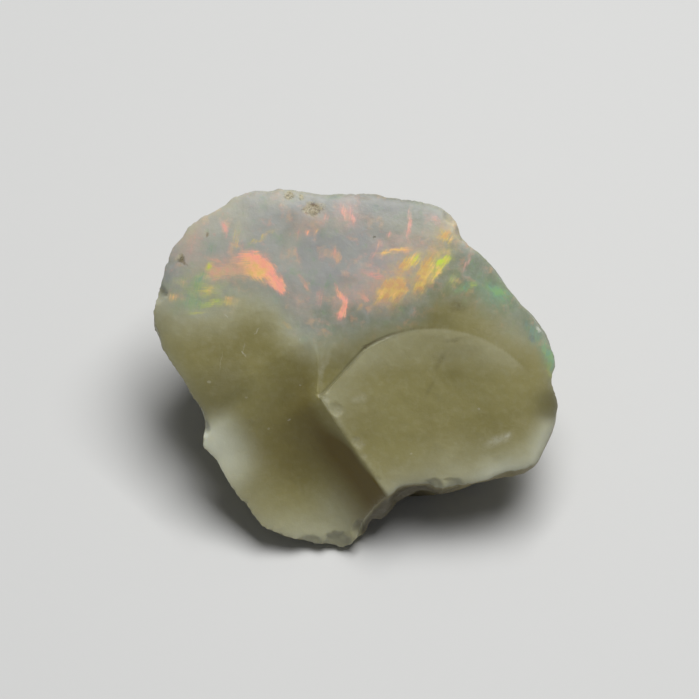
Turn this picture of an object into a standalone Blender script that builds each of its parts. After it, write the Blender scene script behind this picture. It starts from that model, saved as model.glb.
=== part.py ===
"""Rough opal specimen: one broken lump of opal that lies on its flat underside.

Its show face leans back, so that it looks up and forward. The lump is laid out in that face's
own directions, in millimetres: right is world +X, up climbs the leaning face, and out points
away from it. A blank is skinned from rings: the face's outline, the sheer break below it, and
the undercut sides down to a flat foot. The broken surfaces are then cut into the blank: the
domed face with its raised plateau, the long trough, the flake scars on the sides, and the
chips and pits along the edges.
"""

import math

import bmesh
import bpy
import numpy as np
from mathutils import Matrix
from mathutils.bvhtree import BVHTree

# Driving dimensions, in millimetres unless the name says otherwise.
MILLIMETRE = 0.001
FACE_ELEVATION = math.radians(60)  # how far the show face's outward direction rises above level
SEAT = 13.0  # height of the face's own zero point above the ground
TOP_OF_BLANK = 1.6  # the blank stands this far out of the face before the face is cut

# The outline of the face, anticlockwise. Each stretch has its points (right, up), the length of
# the sheer break below its edge, and how upright that break is: 1 is plumb, 0 runs straight
# away from the face.
RIGHT_EDGE = ((14.7, -0.9), (15.0, 0.5), (14.4, 2.0), (13.1, 4.1), (11.6, 5.8), (9.9, 8.0))
BACK_EDGE = (
    (8.2, 9.6), (7.6, 10.8), (6.7, 11.9), (5.4, 12.4), (1.1, 13.1), (-2.6, 13.1),
    (-6.0, 13.5), (-8.9, 13.0),
)
LEFT_EDGE = (
    (-10.3, 12.1), (-12.6, 10.6), (-14.1, 8.4), (-14.6, 6.5), (-15.2, 4.1), (-14.6, 1.8),
)
FLANGE_EDGE = ((-13.9, 0.5), (-12.65, -1.5), (-11.3, -3.8), (-11.55, -5.8))
FRONT_LEFT_EDGE = (
    (-10.4, -7.1), (-9.2, -9.2), (-8.0, -10.7), (-6.9, -12.0), (-4.7, -12.9), (-2.5, -13.3),
    (-0.8, -13.5), (0.0, -12.9),
)
LOW_BREAK = ((0.4, -11.7), (1.2, -10.6))
RIDGE_BREAK = ((2.2, -9.7), (3.4, -8.9))
MIDDLE_BREAK = ((5.3, -8.6), (6.1, -8.95), (7.6, -8.75))
FRONT_RIGHT_EDGE = (
    (9.6, -8.4), (11.2, -7.8), (13.2, -7.25), (14.0, -6.2), (14.7, -4.6), (15.2, -2.8),
)
EDGES = (
    (RIGHT_EDGE, 2.5, 0.3),
    (BACK_EDGE, 5.5, 1.0),
    (LEFT_EDGE, 3.5, 0.4),
    (FLANGE_EDGE, 2.6, 0.1),
    (FRONT_LEFT_EDGE, 0.7, 0.0),
    (LOW_BREAK, 1.5, 1.0),
    (RIDGE_BREAK, 3.2, 1.0),
    (MIDDLE_BREAK, 2.0, 1.0),
    (FRONT_RIGHT_EDGE, 0.9, 0.9),
)
STEPS_PER_SPAN = 2  # ring points from one outline point to the next

FOOT_CENTRE = np.array([0.4, 1.8])  # world X and Y of the middle of the foot
FOOT_SHARE = 0.60  # the foot's plan against the outline's
SIDE_RINGS = 7  # rings of the undercut sides
BREAK_EVENED = 1  # ring points on either side over which the edge's corners even out below it
FOOT_EVENED = 4  # and over which they are gone at the foot
SIDE_ROUGHNESS = 0.2  # how far the sides wander from a smooth skin
SIDE_WAVES = np.array([[0.9, -0.5, 1.1], [-0.7, 1.2, 0.4], [0.5, 0.8, -1.0]])  # radians per mm
CLEAR_OF_FOOT = 0.05
FINEST = 4  # decimal places of a millimetre that a corner keeps

# The domed face and the plateau that a curved crack lifts out of it.
DOME_TOP = np.array([-0.8, 8.5])
PLATEAU_CENTRE = np.array([5.7, -6.45])
PLATEAU_RADIUS = 9.5
PLATEAU_FLAT = np.array([6.3, -2.7])
CRACK_STEP = 0.4  # how far the dome lies below the plateau at the crack's left end
CRACK_DIP_REACH = 2.6  # how far from the crack the dome starts to dip towards it

# The trough, which lies along the ridge between two points of the face. Above the ridge its edge
# goes on as an arris that veers to the right.
RIDGE_TOP = np.array([-2.85, -1.95])
RIDGE_END = np.array([2.2, -9.2])
RIDGE = (RIDGE_END - RIDGE_TOP) / np.linalg.norm(RIDGE_END - RIDGE_TOP)
ARRIS_REACH = 3.4
ARRIS_LENGTH = 4.2
TROUGH_HALF_WIDTH = 6.0
TROUGH_DEPTH = 4.2
TROUGH_ALONG = (-13.0, 15.0, 30)  # from, to and how many sections
TROUGH_FROM_EDGE = (
    -2.6, -1.2, 0.0, 0.4, 0.9, 1.5, 2.2, 3.0, 3.8, 4.6, 5.4, 6.2, 7.0, 7.9, 8.9,
    10.0, 11.2, 12.6, 14.2, 16.0, 18.5,
)

# Rings and spokes of the face's own surface, about the plateau's centre.
FACE_SPOKES = 72
FACE_RINGS = (
    0.4, 2.5, 4.5, 6.0, 7.2, 8.2, 8.8, 9.1, 9.3, 9.4, 9.5, 9.9, 10.5, 11.3, 12.4, 13.8, 15.5, 17.5,
    19.5, 21.5, 23.5, 26.0,
)

# Flake scars on the sides: a place and the way it looks, both in world directions, and the
# hollow's half width and depth.
FLAKE_SCARS = (
    ((-5.5, 11.6, 11.5), (0.0, 0.98, -0.2), 5.5, 1.0),
    ((1.5, 11.2, 12.5), (0.1, 0.99, -0.1), 4.5, 0.8),
    ((4.8, 9.5, 6.0), (0.2, 0.94, -0.28), 5.0, 1.0),
    ((-1.5, 9.3, 4.0), (-0.1, 0.95, -0.32), 4.2, 0.9),
    ((-8.8, 9.6, 4.5), (-0.38, 0.81, -0.46), 4.0, 0.8),
    ((7.8, 8.6, 12.0), (0.35, 0.93, -0.1), 3.2, 0.5),
    ((-11.2, 11.2, 12.5), (-0.42, 0.88, -0.2), 3.4, 0.6),
    ((-13.9, 6.8, 8.0), (-0.82, 0.4, -0.42), 4.6, 0.9),
    ((-14.8, 7.2, 12.2), (-0.9, 0.35, -0.1), 2.4, 0.3),
    ((-11.0, 1.8, 4.0), (-0.78, -0.31, -0.54), 4.4, 0.9),
    ((-13.6, 2.0, 8.4), (-0.86, -0.38, -0.35), 2.8, 0.45),
    ((12.6, 1.2, 4.0), (0.8, 0.1, -0.56), 4.6, 0.9),
    ((11.6, 5.6, 8.0), (0.53, 0.82, -0.22), 4.2, 0.8),
    ((14.8, 1.8, 8.6), (0.97, 0.05, -0.2), 2.6, 0.4),
    ((9.5, 5.2, 2.8), (0.51, 0.74, -0.44), 3.0, 0.5),
    ((9.0, -5.3, 3.4), (0.3, -0.78, -0.55), 3.6, 0.6),
    ((4.6, -5.6, 3.2), (0.1, -0.87, -0.5), 3.0, 0.5),
    ((12.9, -3.0, 4.3), (0.74, -0.25, -0.62), 3.0, 0.5),
)
CLEAR_OF_SIDE = 6.0  # how far outside a scar's place the side is looked for

# Chips off the ridge and the edges, and pits: right and up of the middle, the radius of the
# hollow and how deep it bites into the face.
CHIPS = (
    (-1.35, -3.2, 1.3, 0.1),
    (0.1, -5.6, 1.7, 0.14),
    (0.55, -6.6, 1.0, 0.12),
    (1.6, -8.4, 0.9, 0.1),
    (-1.6, -13.6, 1.3, 0.6),
    (-3.4, -13.5, 1.5, 0.5),
    (5.8, -9.0, 0.9, 0.4),
    (7.4, -9.0, 1.3, 0.3),
    (8.1, 10.3, 0.8, 0.6),
    (7.2, 11.7, 0.6, 0.5),
    (-11.5, -4.5, 0.7, 0.5),
    (-15.3, 5.6, 1.1, 0.35),
    (-3.2, 12.0, 0.62, 0.2),
    (-13.05, 8.3, 0.4, 0.25),
    (-4.95, 12.95, 0.3, 0.15),
)


def to_world(right, up, out):
    """Turn places on the face (right, up, out) into world points, with the foot at height 0."""
    lean, rise = math.cos(FACE_ELEVATION), math.sin(FACE_ELEVATION)
    return np.stack([right, up * rise - out * lean, up * lean + out * rise + SEAT], axis=-1)


def ease(value, low, high):
    """A smooth step from 0 at low to 1 at high."""
    share = np.clip((value - low) / (high - low), 0.0, 1.0)
    return share * share * (3.0 - 2.0 * share)


def dome(right, up):
    """Height of the domed face: gently curved, falling faster towards its back and its sides."""
    across = right - DOME_TOP[0]
    over = np.maximum(up - DOME_TOP[1], 0.0)
    right_fall = 0.035 * np.maximum(right - 8.5, 0.0) ** 2
    left_fall = 0.02 * np.maximum(-9.5 - right, 0.0) ** 2
    return -(across**2 / 170.0 + over**2 / 36.0) - right_fall - left_fall


def plateau(right, up):
    """Height of the raised plateau: a shallow dish that tips towards the broken edge."""
    across, along = right - PLATEAU_FLAT[0], up - PLATEAU_FLAT[1]
    return -1.5 - 0.03 * across + 0.085 * along + 0.0052 * (across**2 + along**2)


def veer(along):
    """How far the trough's edge has veered to the right, by the distance along the ridge."""
    past = 0.5 * (np.sqrt(along**2 + 0.4) - along)
    return ARRIS_REACH * np.tanh(past / ARRIS_LENGTH)


def by_the_ridge(along, aside):
    """Right and up of a place given along the ridge and to its left."""
    right = RIDGE_TOP[0] + along * RIDGE[0] + aside * RIDGE[1]
    return right, RIDGE_TOP[1] + along * RIDGE[1] - aside * RIDGE[0]


def from_the_ridge(right, up):
    """The distance of a place along the ridge and to its left: the other way about."""
    across, climb = right - RIDGE_TOP[0], up - RIDGE_TOP[1]
    return across * RIDGE[0] + climb * RIDGE[1], across * RIDGE[1] - climb * RIDGE[0]


def around(right, up):
    """Height of the dome where it dips towards the crack round the plateau. At the crack it lies
    a step below the plateau; the step fades out to the right. Left of the trough's edge it
    doesn't dip, and is left for the trough to take."""
    across, climb = right - PLATEAU_CENTRE[0], up - PLATEAU_CENTRE[1]
    apart = np.maximum(np.hypot(across, climb), 0.1)
    on_crack = PLATEAU_CENTRE[:, None] + np.stack([across, climb]).reshape(2, -1) * (
        PLATEAU_RADIUS / apart.reshape(-1)
    )
    gap = (dome(*on_crack) - plateau(*on_crack)).reshape(apart.shape)
    dip = np.maximum(gap, 0.0) * (1.0 - ease(right, 5.0, 10.8))
    dip += CRACK_STEP * (1.0 - ease(right, -2.6, 4.6))
    dip *= np.exp(-((np.maximum(apart - PLATEAU_RADIUS, 0.0) / CRACK_DIP_REACH) ** 1.5))
    along, aside = from_the_ridge(right, up)
    return dome(right, up) - dip * (1.0 - ease(aside + veer(along), 0.05, 0.8))


def broken_face(right, up):
    """Height of the dome and plateau together: a clean step at the crack's left end that turns
    into a soft swell to the right."""
    beyond = np.hypot(right - PLATEAU_CENTRE[0], up - PLATEAU_CENTRE[1]) - PLATEAU_RADIUS
    fading = ease(right, 2.0, 9.3)
    inside = ease(-beyond, -1.75 * fading, 0.2 + 5.0 * fading)
    return around(right, up) * (1.0 - inside) + plateau(right, up) * inside


def trough(along, aside):
    """Height of the trough, by the distance along the ridge and the distance to its left.

    It falls from its edge as x * exp((1 - x^2) / 2), where x is 1 at the trough's lowest line.
    It gets shallower past the ridge's top end.
    """
    along_edge = np.clip(along, -12.0, 12.0)
    on_line = by_the_ridge(along_edge, 0.0)
    on_edge = by_the_ridge(along_edge, -veer(along_edge))
    crest = around(*on_edge)
    crest += (plateau(*on_edge) - crest) * ease(along, -1.3, 0.5)
    level = dome(*on_line)
    level += (plateau(*on_line) - level) * ease(along, -6.0, 1.0)
    lowest = level - TROUGH_DEPTH / (1.0 + np.exp(-(along + 0.5) / 3.0))
    beside = (dome(*by_the_ridge(along, aside)) - dome(*on_line)) * ease(aside, 3.0, 11.0)
    from_edge = aside + veer(along_edge)
    x = from_edge / TROUGH_HALF_WIDTH
    fall = np.where(x > 0.0, x * np.exp((1.0 - x * x) / 2.0), x * math.exp(0.5))
    lift = 0.06 * np.maximum(-from_edge, 0.0) ** 2 + 0.03 * np.maximum(-7.0 - along, 0.0) ** 2
    settled = crest + (level - crest) * ease(x, 0.5, 2.0)
    return settled - (settled - lowest) * fall + beside + lift - 0.04 * ease(aside, 1.0, 4.0)


def face_height(right, up):
    """Height of the finished face: the lower of the broken face and the trough."""
    return np.minimum(broken_face(right, up), trough(*from_the_ridge(right, up)))


def mesh_object(name, mesh):
    """Store a bmesh, built in millimetres, as a mesh object in metres with its faces outwards.
    Its faces are split into triangles, since only flat faces cut the same way each time."""
    bmesh.ops.triangulate(mesh, faces=mesh.faces)
    bmesh.ops.recalc_face_normals(mesh, faces=mesh.faces)
    bmesh.ops.scale(mesh, vec=(MILLIMETRE,) * 3, verts=mesh.verts)
    data = bpy.data.meshes.new(name)
    mesh.to_mesh(data)
    mesh.free()
    return bpy.data.objects.new(name, data)


def skin(rings):
    """Join closed rings of points, each an array of rows, into one body with flat ends."""
    mesh = bmesh.new()
    loops = [[mesh.verts.new(point) for point in np.round(ring, FINEST)] for ring in rings]
    for first, second in zip(loops, loops[1:]):
        for i in range(len(first)):
            mesh.faces.new((first[i - 1], first[i], second[i], second[i - 1]))
    mesh.faces.new(loops[0])
    mesh.faces.new(loops[-1])
    return mesh


def outline():
    """The face's outline as rows of (right, up, sheer length, uprightness): a Catmull-Rom curve
    through the named points."""
    corners = np.array([(*point, drop, plumb) for points, drop, plumb in EDGES for point in points])
    before, after = np.roll(corners, 1, axis=0), np.roll(corners, -1, axis=0)
    later = np.roll(corners, -2, axis=0)
    spans = []
    for step in range(STEPS_PER_SPAN):
        t = step / STEPS_PER_SPAN
        bend = (after - before) * t + (2 * before - 5 * corners + 4 * after - later) * t**2
        bend += (3 * corners - before - 3 * after + later) * t**3
        spans.append(corners + bend / 2.0)
    return np.stack(spans, axis=1).reshape(-1, corners.shape[1])


def evened(ring, reach):
    """A closed ring's points, each averaged with its neighbours as far as the reach."""
    steps = range(-reach, reach + 1)
    weights = [1.0 + math.cos(math.pi * step / (reach + 1)) for step in steps]
    total = sum(np.roll(ring, step, axis=0) * each for step, each in zip(steps, weights))
    return total / sum(weights)


def roughened(ring):
    """Move a ring's points by crossed waves, so that the sides aren't a perfect skin, but not
    down to the foot."""
    moved = ring + np.sin(ring @ SIDE_WAVES) * SIDE_ROUGHNESS
    return np.maximum(moved, (-np.inf, -np.inf, CLEAR_OF_FOOT))


def make_blank():
    """The lump before its face is cut: outline, sheer break, undercut sides and flat foot."""
    right, up, drop, plumb = outline().T
    edge_out = np.minimum(face_height(right, up), -0.8)
    top = to_world(right, up, np.full_like(right, TOP_OF_BLANK))
    edge = to_world(right, up, edge_out)
    behind = to_world(right, up, edge_out - 1.0) - edge
    fall = behind * (1.0 - plumb)[:, None] + np.array([0.0, 0.0, -1.0]) * plumb[:, None]
    broken = evened(edge, BREAK_EVENED) + fall * drop[:, None]
    foot = evened(broken, FOOT_EVENED) * (1.0, 1.0, 0.0)
    foot[:, :2] = FOOT_CENTRE + (foot[:, :2] - FOOT_CENTRE) * FOOT_SHARE
    knee = evened(broken + (foot - broken) * 0.35 + fall * 0.25 * broken[:, 2:], BREAK_EVENED)
    rings = [top, edge, broken]
    for i in range(1, SIDE_RINGS):
        t = i / SIDE_RINGS
        rings.append(roughened(broken * (1 - t) ** 2 + knee * 2 * t * (1 - t) + foot * t * t))
    return mesh_object("opal", skin([*rings, foot]))


def face_cutter():
    """Takes everything off above the dome and the plateau: rings about the plateau's centre, so
    that the crack's step runs along a ring."""
    turn = np.linspace(0.0, math.tau, FACE_SPOKES, endpoint=False)
    rings = []
    for radius in FACE_RINGS:
        right = PLATEAU_CENTRE[0] + radius * np.cos(turn)
        up = PLATEAU_CENTRE[1] + radius * np.sin(turn)
        rings.append(to_world(right, up, broken_face(right, up)))
    rings.append(to_world(right, up, np.full_like(right, TOP_OF_BLANK + 2.0)))
    return mesh_object("face_cutter", skin(rings))


def trough_cutter():
    """Cuts the trough: closed sections square to the ridge, each the trough's floor and a flat
    top clear of the face."""
    from_edge = np.array(TROUGH_FROM_EDGE)
    sections = []
    for along in np.linspace(*TROUGH_ALONG):
        left = np.append(from_edge, from_edge[[-1, 0]]) - veer(along)
        held = np.full_like(left, along)
        out = trough(held, left)
        out[-2:] = TOP_OF_BLANK + 3.0
        sections.append(to_world(*by_the_ridge(along, left), out))
    return mesh_object("trough_cutter", skin(sections))


def ball(name, centre, radius, fineness):
    """A round cutter about a world point."""
    mesh = bmesh.new()
    place = Matrix.Translation(np.round(centre, FINEST))
    bmesh.ops.create_icosphere(mesh, subdivisions=fineness, radius=radius, matrix=place)
    return mesh_object(name, mesh)


def flake_cutters(blank):
    """The balls that leave a shallow hollow on each side of the lump. Each hollow's depth counts
    from where the blank's side is, on the line through the scar's place."""
    corners = [corner.co for corner in blank.data.vertices]
    side = BVHTree.FromPolygons(corners, [face.vertices[:] for face in blank.data.polygons])
    for i, (place, looks, half_width, depth) in enumerate(FLAKE_SCARS):
        outward = np.array(looks) / np.linalg.norm(looks)
        start = (np.array(place) + outward * CLEAR_OF_SIDE) * MILLIMETRE
        met = np.array(side.ray_cast(start, -outward)[0]) / MILLIMETRE
        radius = (half_width**2 + depth**2) / (2.0 * depth)
        yield ball(f"flake_cutter_{i}", met + outward * (radius - depth), radius, 4)


def chip_cutters():
    """The small balls that nick the edges and pit the face."""
    for i, (right, up, radius, bite) in enumerate(CHIPS):
        level = face_height(np.array(right), np.array(up))
        centre = to_world(right, up, level + radius - bite)
        yield ball(f"chip_cutter_{i}", centre, radius, 3)


def cut(body, cutter):
    """Take a cutter out of the body with a Boolean, and keep the cutter out of the render."""
    cutter.hide_render = True
    cutter.display_type = "WIRE"
    difference = body.modifiers.new(cutter.name, "BOOLEAN")
    difference.operation = "DIFFERENCE"
    difference.solver = "EXACT"
    difference.object = cutter


def opal_material():
    """Waxy grey-olive potch, the common opal that is most of the lump."""
    material = bpy.data.materials.new("opal")
    material.use_nodes = True
    shader = material.node_tree.nodes["Principled BSDF"]
    shader.inputs["Base Color"].default_value = (0.33, 0.31, 0.20, 1.0)
    shader.inputs["Roughness"].default_value = 0.38
    shader.inputs["Metallic"].default_value = 0.0
    return material


def main():
    """Clear the scene and build the lump."""
    for old in list(bpy.data.objects):
        bpy.data.objects.remove(old)
    opal = make_blank()
    cutters = [face_cutter(), trough_cutter(), *flake_cutters(opal), *chip_cutters()]
    for piece in (opal, *cutters):
        bpy.context.scene.collection.objects.link(piece)
    opal.data.materials.append(opal_material())
    opal.data.shade_smooth()
    opal.data.set_sharp_from_angle(angle=math.radians(35))
    for cutter in cutters:
        cut(opal, cutter)


main()
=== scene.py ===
"""Looks of the rough opal specimen: the broken lump, its fire, the floor, the light and the camera.

The lump is laid out on its leaning show face, in millimetres: right is world +X, up climbs the
face and out points away from it. Every surface is a function of two parameters on a grid.
"""

from __future__ import annotations

import logging
import math
from dataclasses import dataclass, replace
from enum import Enum
from typing import Any

import bpy
import numpy as np
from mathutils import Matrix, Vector

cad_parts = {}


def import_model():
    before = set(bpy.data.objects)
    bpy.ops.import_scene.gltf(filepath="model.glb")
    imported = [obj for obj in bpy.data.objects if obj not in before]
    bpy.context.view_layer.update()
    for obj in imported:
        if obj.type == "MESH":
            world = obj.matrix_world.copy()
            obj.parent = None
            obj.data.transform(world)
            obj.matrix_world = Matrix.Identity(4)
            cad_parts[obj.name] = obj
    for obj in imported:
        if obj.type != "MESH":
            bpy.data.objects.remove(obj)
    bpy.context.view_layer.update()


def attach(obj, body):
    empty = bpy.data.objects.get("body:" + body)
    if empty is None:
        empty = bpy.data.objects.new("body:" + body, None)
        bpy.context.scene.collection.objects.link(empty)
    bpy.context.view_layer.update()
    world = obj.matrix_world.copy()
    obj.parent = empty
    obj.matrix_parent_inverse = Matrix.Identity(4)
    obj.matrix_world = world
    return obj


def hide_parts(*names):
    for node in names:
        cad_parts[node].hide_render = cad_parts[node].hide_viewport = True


Array = np.ndarray
Point2 = tuple[float, float]
Point3 = tuple[float, float, float]
Colour = tuple[float, float, float]

MM = 0.001
LOG = logging.getLogger("opal")


def ease(value: Array | float, low: float | Array, high: float | Array) -> Array:
    """A smooth step: 0 at low, 1 at high, and 3x^2 - 2x^3 between.

    Args:
        value: The numbers to step.
        low: Where the step starts.
        high: Where the step ends.

    Returns:
        The step's height at each number.
    """
    share = np.clip((value - low) / (high - low), 0.0, 1.0)
    return share * share * (3.0 - 2.0 * share)


def soft_lower(one: Array, other: Array, width: Array | float) -> Array:
    """The lower of two heights, with the corner between them rounded over a width.

    Args:
        one: Heights of the first surface.
        other: Heights of the second surface.
        width: How far apart the heights may be and still blend.

    Returns:
        The blended heights.
    """
    share = np.clip(0.5 + 0.5 * (other - one) / width, 0.0, 1.0)
    return other * (1.0 - share) + one * share - width * share * (1.0 - share)


def lumps(points: Array, grain: float, seed: int, octaves: int = 1) -> Array:
    """Smooth noise round 0: random values from -1 to 1 on a cube lattice, eased between corners.

    Args:
        points: Rows of places, in millimetres.
        grain: Lattice cells per millimetre.
        seed: Seed of the random values.
        octaves: How many times a finer and weaker copy is added.

    Returns:
        The noise at each place.
    """
    table = np.random.default_rng(seed).uniform(-1.0, 1.0, 4096)
    total = np.zeros(points.shape[:-1])
    for octave in range(octaves):
        spots = points * grain * 2.0**octave + 17.3 * octave
        base = np.floor(spots).astype(np.int64)
        part = spots - base
        part = part * part * (3.0 - 2.0 * part)
        for corner in np.ndindex(2, 2, 2):
            cell = (base + np.array(corner)) * np.array([73856093, 19349663, 83492791])
            key = (cell[..., 0] ^ cell[..., 1] ^ cell[..., 2]) & 4095
            weight = np.where(np.array(corner, bool), part, 1.0 - part).prod(axis=-1)
            total += table[key] * weight * 0.5**octave
    return total


@dataclass(frozen=True)
class Relief:
    """Noise that moves a surface: lumps per millimetre, their height, their seed and octaves."""

    grain: float
    height: float
    seed: int
    octaves: int = 1

    def at(self, points: Array) -> Array:
        """The relief's height at each point, in millimetres."""
        return self.height * lumps(points, self.grain, self.seed, self.octaves)


@dataclass(frozen=True)
class Stretch:
    """One stretch of the face's outline.

    Its points are (right, up) in millimetres. Drop is the length of the sheer break below the
    edge, plumb is how upright that break is, and nibble is how far small chips eat the edge.
    """

    points: tuple[Point2, ...]
    drop: float
    plumb: float
    nibble: float


@dataclass(frozen=True)
class Outline:
    """The outline of the show face, anticlockwise from its right-hand corner."""

    stretches: tuple[Stretch, ...] = (
        Stretch(
            ((14.7, -0.9), (15.0, 0.5), (14.4, 2.0), (13.1, 4.1), (11.6, 5.8), (9.9, 8.0)),
            2.5, 0.3, 0.07,
        ),
        Stretch(
            (
                (8.2, 9.6), (7.6, 10.8), (6.7, 11.9), (5.4, 12.4), (1.1, 13.1), (-2.6, 13.1),
                (-6.0, 13.5), (-8.9, 13.0),
            ),
            5.5, 1.0, 0.08,
        ),
        Stretch(
            (
                (-10.3, 12.1), (-12.6, 10.6), (-14.1, 8.4), (-14.6, 6.5), (-15.2, 4.1),
                (-14.6, 1.8),
            ),
            3.5, 0.4, 0.1,
        ),
        Stretch(((-13.9, 0.5), (-12.65, -1.5), (-11.3, -3.8), (-11.55, -5.8)), 2.6, 0.1, 0.08),
        Stretch(
            (
                (-10.4, -7.1), (-9.2, -9.2), (-8.0, -10.7), (-6.9, -12.0), (-4.7, -12.9),
                (-2.5, -13.3), (-0.8, -13.5), (0.0, -12.9),
            ),
            0.7, 0.0, 0.13,
        ),
        Stretch(((0.4, -11.7), (1.2, -10.6)), 1.5, 1.0, 0.08),
        Stretch(((2.2, -9.7), (3.4, -8.9)), 3.2, 1.0, 0.08),
        Stretch(((5.3, -8.6), (6.1, -8.95), (7.6, -8.75)), 2.0, 1.0, 0.08),
        Stretch(
            ((9.6, -8.4), (11.2, -7.8), (13.2, -7.25), (14.0, -6.2), (14.7, -4.6), (15.2, -2.8)),
            0.9, 0.9, 0.06,
        ),
    )
    steps: int = 24  # points of the fine curve from one named point to the next

    def curve(self, count: int) -> Array:
        """A Catmull-Rom curve through the named points, at even distances along it.

        Args:
            count: How many points to read from the curve.

        Returns:
            Rows of right, up, drop, plumb and nibble.
        """
        here = np.array(
            [
                (*point, part.drop, part.plumb, part.nibble)
                for part in self.stretches
                for point in part.points
            ]
        )
        last, after = np.roll(here, 1, axis=0), np.roll(here, -1, axis=0)
        later = np.roll(here, -2, axis=0)
        t = np.linspace(0.0, 1.0, self.steps, endpoint=False)[None, :, None]
        p0, p1, p2, p3 = (rows[:, None, :] for rows in (last, here, after, later))
        bend = (p2 - p0) * t + (2 * p0 - 5 * p1 + 4 * p2 - p3) * t**2
        bend = bend + (3 * p1 - p0 - 3 * p2 + p3) * t**3
        fine = (p1 + bend / 2.0).reshape(-1, here.shape[1])
        fine = np.vstack([fine, fine[:1]])
        run = np.append(0.0, np.cumsum(np.hypot(*np.diff(fine[:, :2], axis=0).T)))
        even = np.linspace(0.0, run[-1], count, endpoint=False)
        return np.stack([np.interp(even, run, column) for column in fine.T], axis=1)


@dataclass(frozen=True)
class Bite:
    """A round hollow in the face: its middle (right, up), its ball's radius and its depth."""

    right: float
    up: float
    radius: float
    depth: float


@dataclass(frozen=True)
class ShowFace:
    """The leaning face: a dome, the plateau that a curved crack lifts out of it, and the trough."""

    elevation: float = math.radians(60)
    seat: float = 13.0
    dome_top: Point2 = (-0.8, 8.5)
    dome_across: float = 170.0  # the dome falls by the squared distance over these
    dome_back: float = 36.0
    dome_right: Point2 = (8.5, 0.035)  # where it falls faster, and by how much per squared mm
    dome_left: Point2 = (-9.5, 0.02)
    plateau_level: float = -1.5
    plateau_tilt: Point2 = (-0.03, 0.085)
    plateau_dish: float = 0.0052
    plateau_centre: Point2 = (5.7, -6.45)
    plateau_radius: float = 9.5
    plateau_flat: Point2 = (6.3, -2.7)
    chord_turn: float = math.radians(137.1)  # where the crack runs straight, from its centre
    chord_half: float = math.radians(14.4)
    crack_step: float = 0.4
    crack_dip_reach: float = 2.6
    ridge_top: Point2 = (-2.85, -1.95)
    ridge_end: Point2 = (2.2, -9.2)
    trough_half_width: float = 6.0
    trough_depth: float = 4.2
    arris_reach: float = 3.4  # how far the trough's edge veers to the right above the ridge
    arris_length: float = 4.2
    swells: tuple[Relief, ...] = (Relief(0.33, 0.06, 11), Relief(1.1, 0.018, 12, 2))
    chip_swell: float = 0.3  # how far a chip's edge strays from a circle
    chip_corner: float = 0.03
    ridge_chips: tuple[Bite, ...] = (
        Bite(-1.35, -3.2, 1.3, 0.07),
        Bite(0.1, -5.6, 1.7, 0.10),
        Bite(0.55, -6.6, 1.0, 0.06),
        Bite(-2.2, -2.3, 1.0, 0.03),
        Bite(1.6, -8.4, 0.9, 0.06),
    )
    rim_chips: tuple[Bite, ...] = (
        Bite(0.2, -12.2, 0.9, 0.5),
        Bite(-1.6, -13.6, 1.3, 0.6),
        Bite(-3.4, -13.5, 1.5, 0.5),
        Bite(5.8, -9.0, 0.9, 0.4),
        Bite(7.4, -9.0, 1.3, 0.3),
        Bite(8.1, 10.3, 0.8, 0.6),
        Bite(7.2, 11.7, 0.6, 0.5),
        Bite(-11.5, -4.5, 0.7, 0.5),
        Bite(-15.3, 5.6, 1.1, 0.35),
    )
    pits: tuple[Bite, ...] = (
        Bite(-3.2, 12.0, 0.62, 0.16),
        Bite(-13.05, 8.3, 0.36, 0.25),
        Bite(-4.95, 12.95, 0.28, 0.12),
        Bite(-4.1, 12.85, 0.16, 0.08),
    )

    def world(self, right: Array, up: Array, out: Array) -> Array:
        """World points of places given on the face, all in millimetres.

        Args:
            right: Places to the right.
            up: Places up the face.
            out: Places away from the face.

        Returns:
            The world points.
        """
        lean, rise = math.cos(self.elevation), math.sin(self.elevation)
        height = up * lean + out * rise + self.seat
        return np.stack([right, up * rise - out * lean, height], axis=-1)

    def ridge(self) -> Array:
        """The ridge's direction down the face, as (right, up)."""
        line = np.subtract(self.ridge_end, self.ridge_top)
        return line / np.linalg.norm(line)

    def dome(self, right: Array, up: Array) -> Array:
        """Height of the dome: parabolas that fall faster towards the back and the sides.

        Args:
            right: Places to the right.
            up: Places up the face.

        Returns:
            The dome's height at each place.
        """
        across = right - self.dome_top[0]
        over = np.maximum(up - self.dome_top[1], 0.0)
        right_fall = self.dome_right[1] * np.maximum(right - self.dome_right[0], 0.0) ** 2
        left_fall = self.dome_left[1] * np.maximum(self.dome_left[0] - right, 0.0) ** 2
        falls = across**2 / self.dome_across + over**2 / self.dome_back
        return -falls - right_fall - left_fall

    def plateau(self, right: Array, up: Array) -> Array:
        """Height of the plateau: a shallow dish, a plane plus the square of the distance.

        Args:
            right: Places to the right.
            up: Places up the face.

        Returns:
            The plateau's height at each place.
        """
        across, climb = right - self.plateau_flat[0], up - self.plateau_flat[1]
        plane = self.plateau_level + self.plateau_tilt[0] * across + self.plateau_tilt[1] * climb
        return plane + self.plateau_dish * (across**2 + climb**2)

    def crack_radius(self, across: Array, climb: Array) -> Array:
        """The crack's distance from the plateau's centre, in the direction of a place.

        It is a circle's radius, and cos(half) / cos(turn) of it along the straight chord at its
        upper left.

        Args:
            across: Places to the right of the centre.
            climb: Places up from the centre.

        Returns:
            The crack's distance in the direction of each place.
        """
        turn = np.arctan2(climb, across) - self.chord_turn
        straight = math.cos(self.chord_half) / np.maximum(np.cos(turn), 0.5)
        on_chord = np.abs(turn) < self.chord_half
        return self.plateau_radius * np.where(on_chord, straight, 1.0)

    def beyond(self, right: Array, up: Array) -> Array:
        """How far a place lies outside the crack; inside it, the distance is negative."""
        across, climb = right - self.plateau_centre[0], up - self.plateau_centre[1]
        return np.hypot(across, climb) - self.crack_radius(across, climb)

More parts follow.
